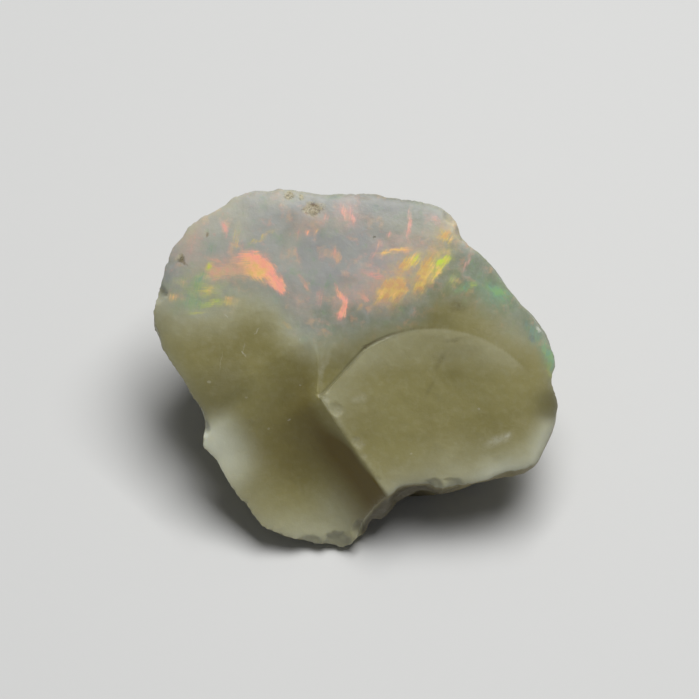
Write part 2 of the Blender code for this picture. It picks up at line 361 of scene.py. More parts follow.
    def around(self, right: Array, up: Array) -> Array:
        """Height of the dome where it dips towards the crack round the plateau.

        At the crack it lies a step below the plateau; the step fades out to the right. It rises
        away from the crack as exp(-(d / reach)^1.5) of the distance d.

        Args:
            right: Places to the right.
            up: Places up the face.

        Returns:
            The height at each place.
        """
        across, climb = right - self.plateau_centre[0], up - self.plateau_centre[1]
        apart = np.maximum(np.hypot(across, climb), 0.1)
        radius = self.crack_radius(across, climb)
        on_crack = (
            self.plateau_centre[0] + across * (radius / apart),
            self.plateau_centre[1] + climb * (radius / apart),
        )
        gap = self.dome(*on_crack) - self.plateau(*on_crack)
        dip = np.maximum(gap, 0.0) * (1.0 - ease(right, 5.0, 10.8))
        dip = dip + self.crack_step * (1.0 - ease(right, -2.6, 4.6))
        beyond = np.maximum(apart - radius, 0.0)
        return self.dome(right, up) - dip * np.exp(-((beyond / self.crack_dip_reach) ** 1.5))

    def broken(self, right: Array, up: Array) -> Array:
        """Height of the dome and the plateau together.

        They meet in a clean step at the crack's left end, which turns into a soft swell to the
        right.

        Args:
            right: Places to the right.
            up: Places up the face.

        Returns:
            The height at each place.
        """
        beyond = self.beyond(right, up)
        fading = ease(right, 2.0, 9.3)
        inside = ease(-beyond, -1.75 * fading, 0.2 + 5.0 * fading)
        return self.around(right, up) * (1.0 - inside) + self.plateau(right, up) * inside

    def by_the_ridge(self, along: Array, aside: Array | float) -> tuple[Array, Array]:
        """Right and up of a place given along the ridge and to its left.

        Args:
            along: Distances down the ridge's line, from its top.
            aside: Distances to the left of that line.

        Returns:
            Places to the right, and places up the face.
        """
        ridge = self.ridge()
        right = self.ridge_top[0] + along * ridge[0] + aside * ridge[1]
        return right, self.ridge_top[1] + along * ridge[1] - aside * ridge[0]

    def from_the_ridge(self, right: Array, up: Array) -> tuple[Array, Array]:
        """How far a place lies along the ridge from its top, and how far to the ridge's left.

        Args:
            right: Places to the right.
            up: Places up the face.

        Returns:
            Distances down the ridge's line, and distances to the left of it.
        """
        ridge = self.ridge()
        across, climb = right - self.ridge_top[0], up - self.ridge_top[1]
        return across * ridge[0] + climb * ridge[1], across * ridge[1] - climb * ridge[0]

    def veer(self, along: Array) -> Array:
        """How far the trough's edge has veered to the right, by the distance along the ridge."""
        past = 0.5 * (np.sqrt(along**2 + 0.4) - along)
        return self.arris_reach * np.tanh(past / self.arris_length)

    def trough(self, along: Array, aside: Array) -> Array:
        """Height of the trough, by the distance along the ridge and the distance to its left.

        Its edge is the ridge and, above the ridge's top, an arris that veers to the right. It
        falls from that edge as x * exp((1 - x^2) / 2), where x is 1 at its lowest line, and it
        gets shallower past the ridge's top end.

        Args:
            along: Distances down the ridge's line, from its top.
            aside: Distances to the left of that line.

        Returns:
            The trough's height at each place.
        """
        along_edge = np.clip(along, -12.0, 12.0)
        veer = self.veer(along_edge)
        on_line = self.by_the_ridge(along_edge, 0.0)
        on_edge = self.by_the_ridge(along_edge, -veer)
        crest = self.around(*on_edge)
        crest = crest + (self.plateau(*on_edge) - crest) * ease(along, -1.3, 0.5)
        level = self.dome(*on_line)
        level = level + (self.plateau(*on_line) - level) * ease(along, -6.0, 1.0)
        lowest = level - self.trough_depth / (1.0 + np.exp(-(along + 0.5) / 3.0))
        beside = self.dome(*self.by_the_ridge(along, aside)) - self.dome(*on_line)
        beside = beside * ease(aside, 3.0, 11.0) - 0.04 * ease(aside, 1.0, 4.0)
        from_edge = aside + veer
        x = from_edge / self.trough_half_width
        fall = np.where(x > 0.0, x * np.exp((1.0 - x * x) / 2.0), x * math.exp(0.5))
        lift = 0.06 * np.maximum(-from_edge, 0.0) ** 2
        lift = lift + 0.03 * np.maximum(-7.0 - along, 0.0) ** 2
        settled = crest + (level - crest) * ease(x, 0.5, 2.0)
        return settled - (settled - lowest) * fall + beside + lift

    def bare(self, right: Array, up: Array) -> Array:
        """Height of the face before its chips.

        The trough blends into the dome at its top and its far side, and meets the plateau in a
        sharp ridge.

        Args:
            right: Places to the right.
            up: Places up the face.

        Returns:
            The height at each place.
        """
        along, aside = self.from_the_ridge(right, up)
        width = 0.22 + 2.0 * ease(-along, 2.2, 6.5) + 2.0 * ease(aside, 6.0, 10.0)
        past_edge = aside + self.veer(along)
        kept = 1.5 * ease(past_edge, 0.0, 1.0) * (1.0 - ease(past_edge, 3.0, 7.0))
        broken = self.broken(right, up) + kept * (1.0 - ease(-along, 1.5, 5.0))
        return soft_lower(broken, self.trough(along, aside), width)

    def height(self, right: Array, up: Array) -> Array:
        """Height of the whole face, with its shallow swells and its chips.

        Args:
            right: Places to the right.
            up: Places up the face.

        Returns:
            The height at each place.
        """
        places = np.stack([right, up, np.zeros_like(right)], axis=-1)
        out = self.bare(right, up) + sum(swell.at(places) for swell in self.swells)
        for bite in (*self.ridge_chips, *self.rim_chips):
            out = self.bitten(out, right, up, bite)
        return out

    def bitten(self, out: Array, right: Array, up: Array, bite: Bite) -> Array:
        """The face with a ball's hollow taken out of it.

        Args:
            out: Heights before the bite.
            right: Places to the right.
            up: Places up the face.
            bite: The hollow.

        Returns:
            Heights after the bite.
        """
        places = np.stack([right, up, np.full_like(right, bite.right)], axis=-1)
        apart = np.hypot(right - bite.right, up - bite.up)
        apart = apart * (1.0 + self.chip_swell * lumps(places, 1.1, 13, 3))
        level = self.bare(np.array(bite.right), np.array(bite.up))
        ball = np.sqrt(np.maximum(bite.radius**2 - apart**2, 0.0))
        floor = level + bite.radius - bite.depth - ball
        floor = np.where(apart < bite.radius * 0.98, floor, out + 1.0)
        return soft_lower(out, floor, self.chip_corner)


@dataclass(frozen=True)
class Flake:
    """A flake scar on a side: a place and the way it looks (world), its half width and depth."""

    place: Point3
    looks: Point3
    half_width: float
    depth: float
    ripple: float = 1.3  # from one ripple of the break to the next
    reach: float = 5.0  # how far in front of and behind its place it can bite

    def bite(self, points: Array) -> Array:
        """How far the scar pushes each point in: a parabola with faint rings round its middle.

        Args:
            points: Rows of world points, in millimetres.

        Returns:
            Rows of the push that each point takes.
        """
        outward = np.array(self.looks) / np.linalg.norm(self.looks)
        apart = points - np.array(self.place)
        reach = apart @ outward
        aside = np.linalg.norm(apart - reach[..., None] * outward, axis=-1)
        bowl = np.maximum(1.0 - (aside / self.half_width) ** 2, 0.0)
        rings = 0.018 * np.sin(aside * (math.tau / self.ripple)) * ease(bowl, 0.0, 0.35)
        near = 1.0 - ease(np.abs(reach), 0.6 * self.reach, self.reach)
        return -outward * ((bowl * self.depth + rings) * near)[..., None]


@dataclass(frozen=True)
class Sides:
    """The sides of the lump: sheer breaks under the edge, then undercut faces down to the foot."""

    foot_centre: Point2 = (0.4, 1.8)
    foot_share: float = 0.60
    sheer_rows: int = 15
    undercut_rows: int = 40
    chip_reach: int = 8  # spokes over which the edge's small chips die out down the break
    plan_reach: int = 22  # spokes over which the edge's corners are gone at the foot
    ridge_sharpness: float = 9.0  # how crisply two flake scars meet
    wanders: tuple[Relief, ...] = (
        Relief(0.2, 0.30, 30, 2), Relief(0.7, 0.07, 33, 2), Relief(2.2, 0.02, 36, 2),
    )  # each takes three seeds in a row, one for each axis
    flakes: tuple[Flake, ...] = (
        Flake((-5.5, 11.6, 11.5), (0.0, 0.98, -0.2), 5.5, 1.0),
        Flake((1.5, 11.2, 12.5), (0.1, 0.99, -0.1), 4.5, 0.8),
        Flake((4.8, 9.5, 6.0), (0.2, 0.94, -0.28), 5.0, 1.0),
        Flake((-1.5, 9.3, 4.0), (-0.1, 0.95, -0.32), 4.2, 0.9),
        Flake((-8.8, 9.6, 4.5), (-0.38, 0.81, -0.46), 4.0, 0.8),
        Flake((7.8, 8.6, 12.0), (0.35, 0.93, -0.1), 3.2, 0.5),
        Flake((-11.2, 11.2, 12.5), (-0.42, 0.88, -0.2), 3.4, 0.6),
        Flake((-13.9, 6.8, 8.0), (-0.82, 0.4, -0.42), 4.6, 0.9),
        Flake((-14.8, 7.2, 12.2), (-0.9, 0.35, -0.1), 2.4, 0.3),
        Flake((-11.0, 1.8, 4.0), (-0.78, -0.31, -0.54), 4.4, 0.9),
        Flake((-13.6, 2.0, 8.4), (-0.86, -0.38, -0.35), 2.8, 0.45),
        Flake((-10.8, -2.4, 5.4), (-0.9, 0.05, -0.4), 2.6, 0.4),
        Flake((12.6, 1.2, 4.0), (0.8, 0.1, -0.56), 4.6, 0.9),
        Flake((11.6, 5.6, 8.0), (0.53, 0.82, -0.22), 4.2, 0.8),
        Flake((14.8, 1.8, 8.6), (0.97, 0.05, -0.2), 2.6, 0.4),
        Flake((9.5, 5.2, 2.8), (0.51, 0.74, -0.44), 3.0, 0.5),
        Flake((9.0, -5.3, 3.4), (0.3, -0.78, -0.55), 3.6, 0.6),
        Flake((4.6, -5.6, 3.2), (0.1, -0.87, -0.5), 3.0, 0.5),
        Flake((12.9, -3.0, 4.3), (0.74, -0.25, -0.62), 3.0, 0.5),
    )

    def evened(self, loop: Array, reach: int) -> Array:
        """A closed loop's rows, each averaged with its neighbours.

        Args:
            loop: The loop's rows.
            reach: How many neighbours on each side count, less and less with their distance.

        Returns:
            The evened rows.
        """
        steps = range(-reach, reach + 1)
        weights = [1.0 + math.cos(math.pi * step / (reach + 1)) for step in steps]
        total = sum(np.roll(loop, step, axis=0) * each for step, each in zip(steps, weights))
        return total / sum(weights)

    def skin(self, edge: Array, behind: Array, drop: Array, plumb: Array) -> Array:
        """Rows of points from the edge down to the foot, before they break.

        The sheer break is straight, and the undercut is a parabola from it to the foot, whose
        plan is the break's, evened out and drawn in towards the foot's middle.

        Args:
            edge: The edge of the face, as world points.
            behind: The unit direction straight away from the face.
            drop: Length of the sheer break at each point of the edge.
            plumb: How upright that break is at each point.

        Returns:
            Points by row and by place round the edge, without the edge itself.
        """
        down = np.array([0.0, 0.0, -1.0])
        fall = behind * (1.0 - plumb)[:, None] + down * plumb[:, None]
        broken = self.evened(edge, self.chip_reach) + fall * drop[:, None]
        plan = self.evened(broken, self.plan_reach)[:, :2]
        middle = np.array(self.foot_centre)
        foot = np.column_stack([middle + (plan - middle) * self.foot_share, np.zeros(len(plan))])
        knee = broken + (foot - broken) * 0.35 + fall * 0.25 * broken[:, 2:]
        knee = self.evened(knee, self.chip_reach)
        s = (np.arange(1, self.sheer_rows + 1) / self.sheer_rows)[:, None, None]
        t = (np.arange(1, self.undercut_rows + 1) / self.undercut_rows)[:, None, None]
        sheer = edge * (1.0 - s) + broken * s
        undercut = broken * (1.0 - t) ** 2 + knee * 2.0 * t * (1.0 - t) + foot * t * t
        return np.concatenate([sheer, undercut])

    def rows(self, edge: Array, behind: Array, drop: Array, plumb: Array) -> Array:
        """The skin, shaped by noise and by the flakes: the deepest one at a point wins.

        Args:
            edge: The edge of the face, as world points.
            behind: The unit direction straight away from the face.
            drop: Length of the sheer break at each point of the edge.
            plumb: How upright that break is at each point.

        Returns:
            Points by row and by place round the edge, without the edge itself.
        """
        points = self.skin(edge, behind, drop, plumb)
        below = np.linalg.norm(points - edge, axis=-1)
        hold = ease(below, 0.0, 1.2) * ease(points[..., 2], 0.0, 0.8)
        bites = np.stack([flake.bite(points) for flake in self.flakes])
        weights = np.linalg.norm(bites, axis=-1, keepdims=True) ** self.ridge_sharpness
        bitten = (bites * weights).sum(axis=0) / (weights.sum(axis=0) + 1e-12)
        points = points + bitten * hold[..., None]
        for wander in self.wanders:
            pushes = [replace(wander, seed=wander.seed + axis).at(points) for axis in range(3)]
            points = points + np.stack(pushes, axis=-1) * hold[..., None]
        points[-1, :, 2] = 0.0
        return np.maximum(points, (-np.inf, -np.inf, 0.0))


class Value:
    """A number inside a shader. Arithmetic on it adds Math nodes."""

    def __init__(self, shader: Shader, socket: Any) -> None:
        """Wrap a socket of a shader."""
        self.shader = shader
        self.socket = socket

    def math(self, operation: str, *numbers: Any) -> Value:
        """Add a Math node on this value.

        Args:
            operation: The node's operation.
            numbers: Its further inputs in order, as values or plain numbers.

        Returns:
            The result.
        """
        inputs = dict(enumerate((self, *numbers)))
        node = self.shader.node("ShaderNodeMath", inputs, operation=operation)
        return Value(self.shader, node.outputs[0])

    def __add__(self, other: Any) -> Value:
        """This plus other."""
        return self.math("ADD", other)

    def __sub__(self, other: Any) -> Value:
        """This less other."""
        return self.math("SUBTRACT", other)

    def __rsub__(self, other: Any) -> Value:
        """Other less this."""
        return self * -1.0 + other

    def __mul__(self, other: Any) -> Value:
        """This times other."""
        return self.math("MULTIPLY", other)

    def step(self, low: float | Value, high: float | Value) -> Value:
        """A smooth step from 0 at low to 1 at high; it falls where high is the lower one."""
        inputs = {"Value": self, "From Min": low, "From Max": high}
        node = self.shader.node("ShaderNodeMapRange", inputs, interpolation_type="SMOOTHSTEP")
        return Value(self.shader, node.outputs["Result"])

    def least(self, other: Any) -> Value:
        """The smaller of this and other."""
        return self.math("MINIMUM", other)


@dataclass(frozen=True)
class Cloud:
    """A soft pattern in a colour: noise with grain lumps per millimetre, that the pattern starts
    at one height of and is full at another."""

    grain: float
    start: float
    full: float
    detail: float = 2.0
    roughness: float = 0.5
    shift: Point3 = (0.0, 0.0, 0.0)  # millimetres, so that no two clouds are alike


class Shader:
    """Builds one material's nodes."""

    def __init__(self, name: str) -> None:
        """Make an empty node material.

        Args:
            name: The material's name.
        """
        self.material = bpy.data.materials.new(name)
        self.material.use_nodes = True
        self.tree = self.material.node_tree
        self.tree.nodes.clear()

    def node(
        self,
        kind: str,
        inputs: dict[Any, Any] | None = None,
        stops: tuple[tuple[float, Any], ...] = (),
        **settings: Any,
    ) -> Any:
        """Add one node.

        Args:
            kind: The node's type.
            inputs: What each socket holds, by its name or number: a value, a socket or a constant.
            stops: A ramp's stops, each a position and a colour or a grey.
            settings: The node's own settings, which are set first.

        Returns:
            The node.
        """
        made = self.tree.nodes.new(kind)
        for name, setting in settings.items():
            setattr(made, name, setting)
        if stops:
            ramp = made.color_ramp.elements
            while len(ramp) < len(stops):
                ramp.new(1.0)
            for element, (place, colour) in zip(ramp, stops):
                element.position = place
                solid = (colour,) * 3 if isinstance(colour, float) else colour
                element.color = (*solid, 1.0)
        for name, given in (inputs or {}).items():
            socket = made.inputs[name]
            given = given.socket if isinstance(given, Value) else given
            if isinstance(given, bpy.types.NodeSocket):
                self.tree.links.new(given, socket)
            elif socket.type == "RGBA":
                socket.default_value = (*given, 1.0)
            else:
                socket.default_value = given
        return made

    def value(self, kind: str, output: str, inputs: dict[Any, Any], **settings: Any) -> Value:
        """Add one node and return one of its outputs as a value."""
        return Value(self, self.node(kind, inputs, **settings).outputs[output])

    def vector(self, operation: str, *inputs: Any, output: str = "Vector") -> Any:
        """Add a Vector Math node.

        Args:
            operation: The node's operation.
            inputs: Its inputs in order.
            output: The output to read, Value for an operation that gives a number.

        Returns:
            A value for a number, and the output socket for a vector.
        """
        made = self.node("ShaderNodeVectorMath", dict(enumerate(inputs)), operation=operation)
        socket = made.outputs[output]
        return Value(self, socket) if output == "Value" else socket

    def noise(self, at: Any, grain: float, detail: float = 2.0, roughness: float = 0.5) -> Value:
        """Smooth noise from 0 to 1 at a place, with grain lumps per millimetre."""
        inputs = {"Vector": at, "Scale": grain, "Detail": detail, "Roughness": roughness}
        return self.value("ShaderNodeTexNoise", "Fac", inputs)

    def cloud(self, at: Any, cloud: Cloud) -> Value:
        """How thick a cloud is at a place.

        Args:
            at: The place.
            cloud: The cloud.

        Returns:
            Its thickness, from 0 to 1.
        """
        moved = self.vector("ADD", at, cloud.shift) if any(cloud.shift) else at
        found = self.noise(moved, cloud.grain, cloud.detail, cloud.roughness)
        return found.step(cloud.start, cloud.full)

    def mix(self, share: Any, one: Any, other: Any) -> Any:
        """A colour between one and other: one where share is 0 and other where it is 1."""
        made = self.node("ShaderNodeMix", {0: share, 6: one, 7: other}, data_type="RGBA")
        return made.outputs[2]

    def near(self, at: Any, place: Point2, turn: float, size: Point2) -> Value:
        """How near a place is to a mark's middle.

        Args:
            at: The place, in a plane.
            place: The mark's middle.
            turn: The mark's turn in degrees.
            size: Half its length and half its width.

        Returns:
            1 in the mark's middle, falling evenly to 0 at its elliptical edge.
        """
        made = self.node("ShaderNodeTexGradient", {"Vector": at}, gradient_type="SPHERICAL")
        made.texture_mapping.vector_type = "TEXTURE"
        made.texture_mapping.translation = (*place, 0.0)
        made.texture_mapping.rotation = (0.0, 0.0, math.radians(turn))
        made.texture_mapping.scale = (*size, 1.0)
        return Value(self, made.outputs["Fac"])

    def drawn(self, at: Any, turn: float, size: Point2) -> Any:
        """Draw a pattern out along one direction.

        Args:
            at: The place, in a plane.
            turn: The direction, in degrees from right.
            size: How far the pattern is drawn out along the direction and across it.

        Returns:
            The place turned back and divided by that size.
        """
        angle = math.radians(turn)
        along = (math.cos(angle) / size[0], math.sin(angle) / size[0], 0.0)
        aside = (-math.sin(angle) / size[1], math.cos(angle) / size[1], 0.0)
        inputs = {
            "X": self.vector("DOT_PRODUCT", at, along, output="Value"),
            "Y": self.vector("DOT_PRODUCT", at, aside, output="Value"),
        }
        return self.node("ShaderNodeCombineXYZ", inputs).outputs[0]


class Hue(Enum):
    """The colours of the stone's fire, as linear light. The later ones lie over the earlier."""

    SALMON = (0.97, 0.42, 0.32)
    ORANGE = (0.97, 0.53, 0.27)
    AMBER = (0.64, 0.40, 0.17)
    ROSE = (0.70, 0.37, 0.31)
    PEACH = (0.60, 0.42, 0.30)
    GOLD = (0.72, 0.58, 0.15)
    LIME = (0.56, 0.68, 0.09)
    GREEN = (0.25, 0.41, 0.19)
    TEAL = (0.17, 0.33, 0.29)


DRIFTS = {
    Hue.SALMON: Hue.ORANGE,
    Hue.ORANGE: Hue.GOLD,
    Hue.AMBER: Hue.GOLD,
    Hue.ROSE: Hue.PEACH,
    Hue.PEACH: Hue.ROSE,
    Hue.GOLD: Hue.ORANGE,
    Hue.LIME: Hue.GOLD,
    Hue.GREEN: Hue.TEAL,
    Hue.TEAL: Hue.GREEN,
}  # the hue that each one drifts towards


class Grain(Enum):
    """The direction that a flash's fine streaks run in, in degrees from right."""

    UPRIGHT = 78.0
    CLIMBING = 58.0
    FALLING = -52.0
    LEVEL = 4.0


@dataclass(frozen=True)
class Patch:
    """An ellipse of colour on the face: its middle, its half length and half width, all in
    millimetres, and its turn in degrees."""

    right: float
    up: float
    half_length: float
    half_width: float
    turn: float


@dataclass(frozen=True)
class Flash(Patch):
    """One flash of fire, drawn out in streaks."""

    hue: Hue
    grain: Grain = Grain.UPRIGHT
    strength: float = 1.0


@dataclass(frozen=True)
class Glow(Patch):
    """A soft cloud of colour without streaks."""

    hue: Hue
    strength: float = 1.0
    edge: float = 0.95  # the share of its size over which it fades


class Tone(Enum):
    """The colours of marks on the stone, as linear light. The chalk also paints one glint, and the
    smudge also paints shade on the broken sides.
    """

    CHALK_AND_GLINT = (0.60, 0.60, 0.52)
    SMUDGE_AND_SHADE = (0.085, 0.070, 0.030)
    UMBER = (0.16, 0.115, 0.045)
    SLATE = (0.17, 0.20, 0.22)


@dataclass(frozen=True)
class Mark(Patch):
    """A mark in or on the stone: a fleck, a scratch, a stain, a dark speck, or one painted glint."""

    tone: Tone = Tone.CHALK_AND_GLINT
    strength: float = 1.0
    edge: float = 0.45  # the share of its size over which it fades


FLASHES = (
    # The great boomerang on the left, and the peach streaks that trail from it.
    Flash(-7.95, 8.3, 1.0, 0.42, 4, Hue.SALMON, Grain.LEVEL),
    Flash(-8.0, 7.5, 1.0, 0.55, -5, Hue.ORANGE, Grain.LEVEL),
    Flash(-7.05, 7.8, 0.8, 0.5, -35, Hue.SALMON, Grain.FALLING),
    Flash(-7.3, 7.1, 0.7, 0.45, -30, Hue.ORANGE, Grain.FALLING),
    Flash(-6.35, 6.9, 1.1, 0.5, -48, Hue.SALMON, Grain.FALLING),
    Flash(-5.7, 6.2, 0.5, 0.3, -60, Hue.SALMON, Grain.FALLING),
    Flash(-9.6, 7.4, 1.3, 0.36, -2, Hue.PEACH, Grain.LEVEL, 0.95),
    Flash(-10.7, 6.95, 0.8, 0.3, 5, Hue.PEACH, Grain.LEVEL, 0.7),
    Flash(-10.3, 7.95, 0.7, 0.14, -20, Hue.ROSE, Grain.LEVEL, 0.8),
    # Greens, limes and small oranges at the left end of the band.
    Flash(-11.0, 7.6, 0.3, 0.22, 40, Hue.LIME, Grain.UPRIGHT, 0.75),
    Flash(-11.7, 6.6, 1.0, 0.4, 58, Hue.GREEN, Grain.UPRIGHT, 0.6),
    Flash(-13.0, 6.55, 0.6, 0.35, 10, Hue.PEACH, Grain.UPRIGHT, 0.5),
    Flash(-13.65, 5.3, 0.34, 0.3, 20, Hue.ORANGE, Grain.UPRIGHT, 0.75),
    Flash(-9.3, 5.05, 0.6, 0.34, 5, Hue.AMBER, Grain.UPRIGHT, 0.9),
    Flash(-9.45, 5.4, 0.35, 0.2, 0, Hue.ORANGE, Grain.UPRIGHT, 0.7),
    Flash(-10.6, 4.9, 1.2, 0.26, 6, Hue.LIME, Grain.LEVEL, 0.62),
    Flash(-12.2, 4.9, 1.0, 0.55, 10, Hue.GREEN, Grain.UPRIGHT, 0.7),
    Flash(-11.9, 4.2, 0.7, 0.2, 4, Hue.LIME, Grain.LEVEL, 0.68),
    Flash(-11.2, 5.9, 0.9, 0.35, -10, Hue.GOLD, Grain.LEVEL, 0.5),
    Flash(-13.5, 4.3, 0.6, 0.42, 20, Hue.TEAL, Grain.UPRIGHT, 0.55),
    Flash(-10.8, 8.9, 0.9, 0.5, 50, Hue.TEAL, Grain.UPRIGHT, 0.4),
    # Pinks high on the left and in the middle.
    Flash(-9.85, 10.5, 0.52, 0.2, -72, Hue.ROSE, Grain.UPRIGHT, 1.0),
    Flash(-9.85, 10.6, 0.22, 0.12, -72, Hue.SALMON, Grain.UPRIGHT, 0.8),
    Flash(-9.0, 9.6, 1.0, 0.25, 82, Hue.GOLD, Grain.UPRIGHT, 0.4),
    Flash(-12.3, 9.2, 1.0, 0.3, 70, Hue.ROSE, Grain.UPRIGHT, 0.4),
    Flash(-7.1, 9.75, 1.05, 0.13, 28, Hue.GOLD, Grain.CLIMBING, 0.5),
    Flash(-3.7, 10.2, 0.22, 0.2, 0, Hue.SALMON, Grain.UPRIGHT, 0.75),
    Flash(-2.95, 10.35, 0.2, 0.16, 60, Hue.ORANGE, Grain.UPRIGHT, 0.6),
    Flash(-4.35, 10.2, 0.4, 0.2, 85, Hue.ROSE, Grain.UPRIGHT, 0.5),
    Flash(-0.9, 11.75, 0.6, 0.2, -72, Hue.ROSE, Grain.UPRIGHT, 0.8),
    Flash(-0.3, 11.4, 0.6, 0.2, -76, Hue.ROSE, Grain.UPRIGHT, 0.7),
    Flash(-2.3, 11.2, 0.45, 0.3, 80, Hue.ROSE, Grain.UPRIGHT, 0.5),
    Flash(-1.45, 8.4, 0.5, 0.26, 86, Hue.PEACH, Grain.UPRIGHT, 1.0),
    Flash(-1.5, 8.3, 0.3, 0.14, 86, Hue.ORANGE, Grain.UPRIGHT, 0.55),
    Flash(-1.2, 5.55, 0.6, 0.17, -66, Hue.SALMON, Grain.UPRIGHT, 0.85),
    Flash(-0.9, 4.85, 0.55, 0.22, 88, Hue.SALMON, Grain.UPRIGHT, 0.95),
    Flash(-1.1, 4.2, 0.42, 0.26, 62, Hue.SALMON, Grain.UPRIGHT, 0.95),
    Flash(-3.8, 6.3, 0.7, 0.2, -58, Hue.PEACH, Grain.FALLING, 0.7),
    Flash(-2.7, 5.3, 0.6, 0.3, 80, Hue.ROSE, Grain.UPRIGHT, 0.55),
    Flash(-5.2, 3.4, 0.5, 0.15, -38, Hue.AMBER, Grain.FALLING, 0.85),
    Flash(-2.1, 3.5, 0.35, 0.14, -50, Hue.ROSE, Grain.FALLING, 0.45),
    # Feathers of amber, gold and lime right of the middle.
    Flash(3.95, 10.7, 1.1, 0.17, 84, Hue.ROSE, Grain.UPRIGHT, 0.8),
    Flash(2.5, 10.0, 0.26, 0.18, 70, Hue.ROSE, Grain.UPRIGHT, 0.7),
    Flash(1.75, 9.4, 0.34, 0.2, 50, Hue.ROSE, Grain.UPRIGHT, 0.65),
    Flash(2.0, 8.7, 0.4, 0.2, 40, Hue.ORANGE, Grain.CLIMBING, 0.6),
    Flash(3.0, 8.8, 1.15, 0.2, 8, Hue.ORANGE, Grain.LEVEL, 0.85),
    Flash(3.1, 8.85, 0.6, 0.1, 6, Hue.GOLD, Grain.LEVEL, 0.7),
    Flash(1.2, 8.4, 0.7, 0.16, 60, Hue.ROSE, Grain.CLIMBING, 0.5),
    Flash(3.7, 7.85, 0.62, 0.34, 55, Hue.AMBER, Grain.CLIMBING, 1.0),
    Flash(3.7, 7.75, 0.4, 0.16, 60, Hue.ORANGE, Grain.CLIMBING, 0.7),
    Flash(4.35, 8.1, 0.6, 0.32, 58, Hue.GOLD, Grain.CLIMBING, 0.95),
    Flash(4.55, 8.3, 0.4, 0.2, 55, Hue.LIME, Grain.CLIMBING, 0.55),
    Flash(5.1, 7.1, 1.35, 0.46, 70, Hue.AMBER, Grain.CLIMBING, 1.0),
    Flash(5.15, 7.5, 0.8, 0.16, 66, Hue.ORANGE, Grain.CLIMBING, 0.8),
    Flash(5.0, 6.3, 0.5, 0.14, 72, Hue.ORANGE, Grain.CLIMBING, 0.6),
    Flash(5.6, 7.4, 0.9, 0.2, 66, Hue.GOLD, Grain.CLIMBING, 0.75),
    Flash(6.1, 7.2, 1.05, 0.19, 57, Hue.GOLD, Grain.CLIMBING, 1.0),
    Flash(6.55, 8.0, 0.52, 0.27, 35, Hue.LIME, Grain.CLIMBING, 1.0),
    Flash(2.1, 5.85, 0.75, 0.38, 58, Hue.AMBER, Grain.CLIMBING, 0.95),
    Flash(1.85, 5.6, 0.6, 0.22, 62, Hue.GOLD, Grain.CLIMBING, 0.7),
    Flash(3.0, 5.95, 0.75, 0.5, 66, Hue.AMBER, Grain.CLIMBING, 1.0),
    Flash(3.05, 6.3, 0.5, 0.2, 60, Hue.ORANGE, Grain.CLIMBING, 0.9),
    Flash(3.6, 5.7, 0.5, 0.2, 64, Hue.ORANGE, Grain.CLIMBING, 0.6),
    Flash(2.9, 5.6, 0.45, 0.25, 30, Hue.GOLD, Grain.CLIMBING, 0.6),
    Flash(1.25, 7.0, 0.8, 0.26, -14, Hue.ROSE, Grain.LEVEL, 0.7),
    Flash(0.63, 5.4, 0.36, 0.17, -45, Hue.ROSE, Grain.FALLING, 0.9),
    Flash(0.3, 4.6, 0.4, 0.17, 60, Hue.AMBER, Grain.CLIMBING, 0.55),
    Flash(6.6, 9.95, 0.5, 0.34, 60, Hue.AMBER, Grain.CLIMBING, 0.85),
    Flash(6.6, 10.1, 0.25, 0.16, 60, Hue.ORANGE, Grain.CLIMBING, 0.5),
    Flash(7.1, 9.75, 0.35, 0.13, 64, Hue.GOLD, Grain.CLIMBING, 0.8),
    Flash(5.9, 11.1, 0.9, 0.3, -40, Hue.ROSE, Grain.FALLING, 0.45),
    Flash(8.35, 8.0, 0.9, 0.16, 72, Hue.ROSE, Grain.UPRIGHT, 0.6),
    Flash(7.2, 6.6, 0.9, 0.4, 60, Hue.LIME, Grain.CLIMBING, 0.4),
    # Greens towards the right rim.
    Flash(8.0, 6.0, 0.7, 0.3, 20, Hue.GREEN, Grain.CLIMBING, 0.7),
    Flash(8.7, 6.3, 0.3, 0.16, 10, Hue.LIME, Grain.LEVEL, 0.5),
    Flash(10.65, 5.8, 0.9, 0.4, -35, Hue.GREEN, Grain.FALLING, 0.75),
    Flash(10.0, 5.2, 1.1, 0.6, -30, Hue.TEAL, Grain.FALLING, 0.45),
    Flash(14.5, 0.8, 1.3, 0.28, -76, Hue.GREEN, Grain.UPRIGHT, 1.0),
    Flash(14.6, -0.15, 0.4, 0.2, -82, Hue.LIME, Grain.UPRIGHT, 1.0),
    Flash(14.3, 1.1, 0.35, 0.14, -70, Hue.LIME, Grain.UPRIGHT, 0.8),
    Flash(14.2, 1.8, 0.6, 0.16, -66, Hue.ROSE, Grain.UPRIGHT, 0.5),
    Flash(13.4, 2.4, 1.3, 0.5, -62, Hue.TEAL, Grain.UPRIGHT, 0.7),
)

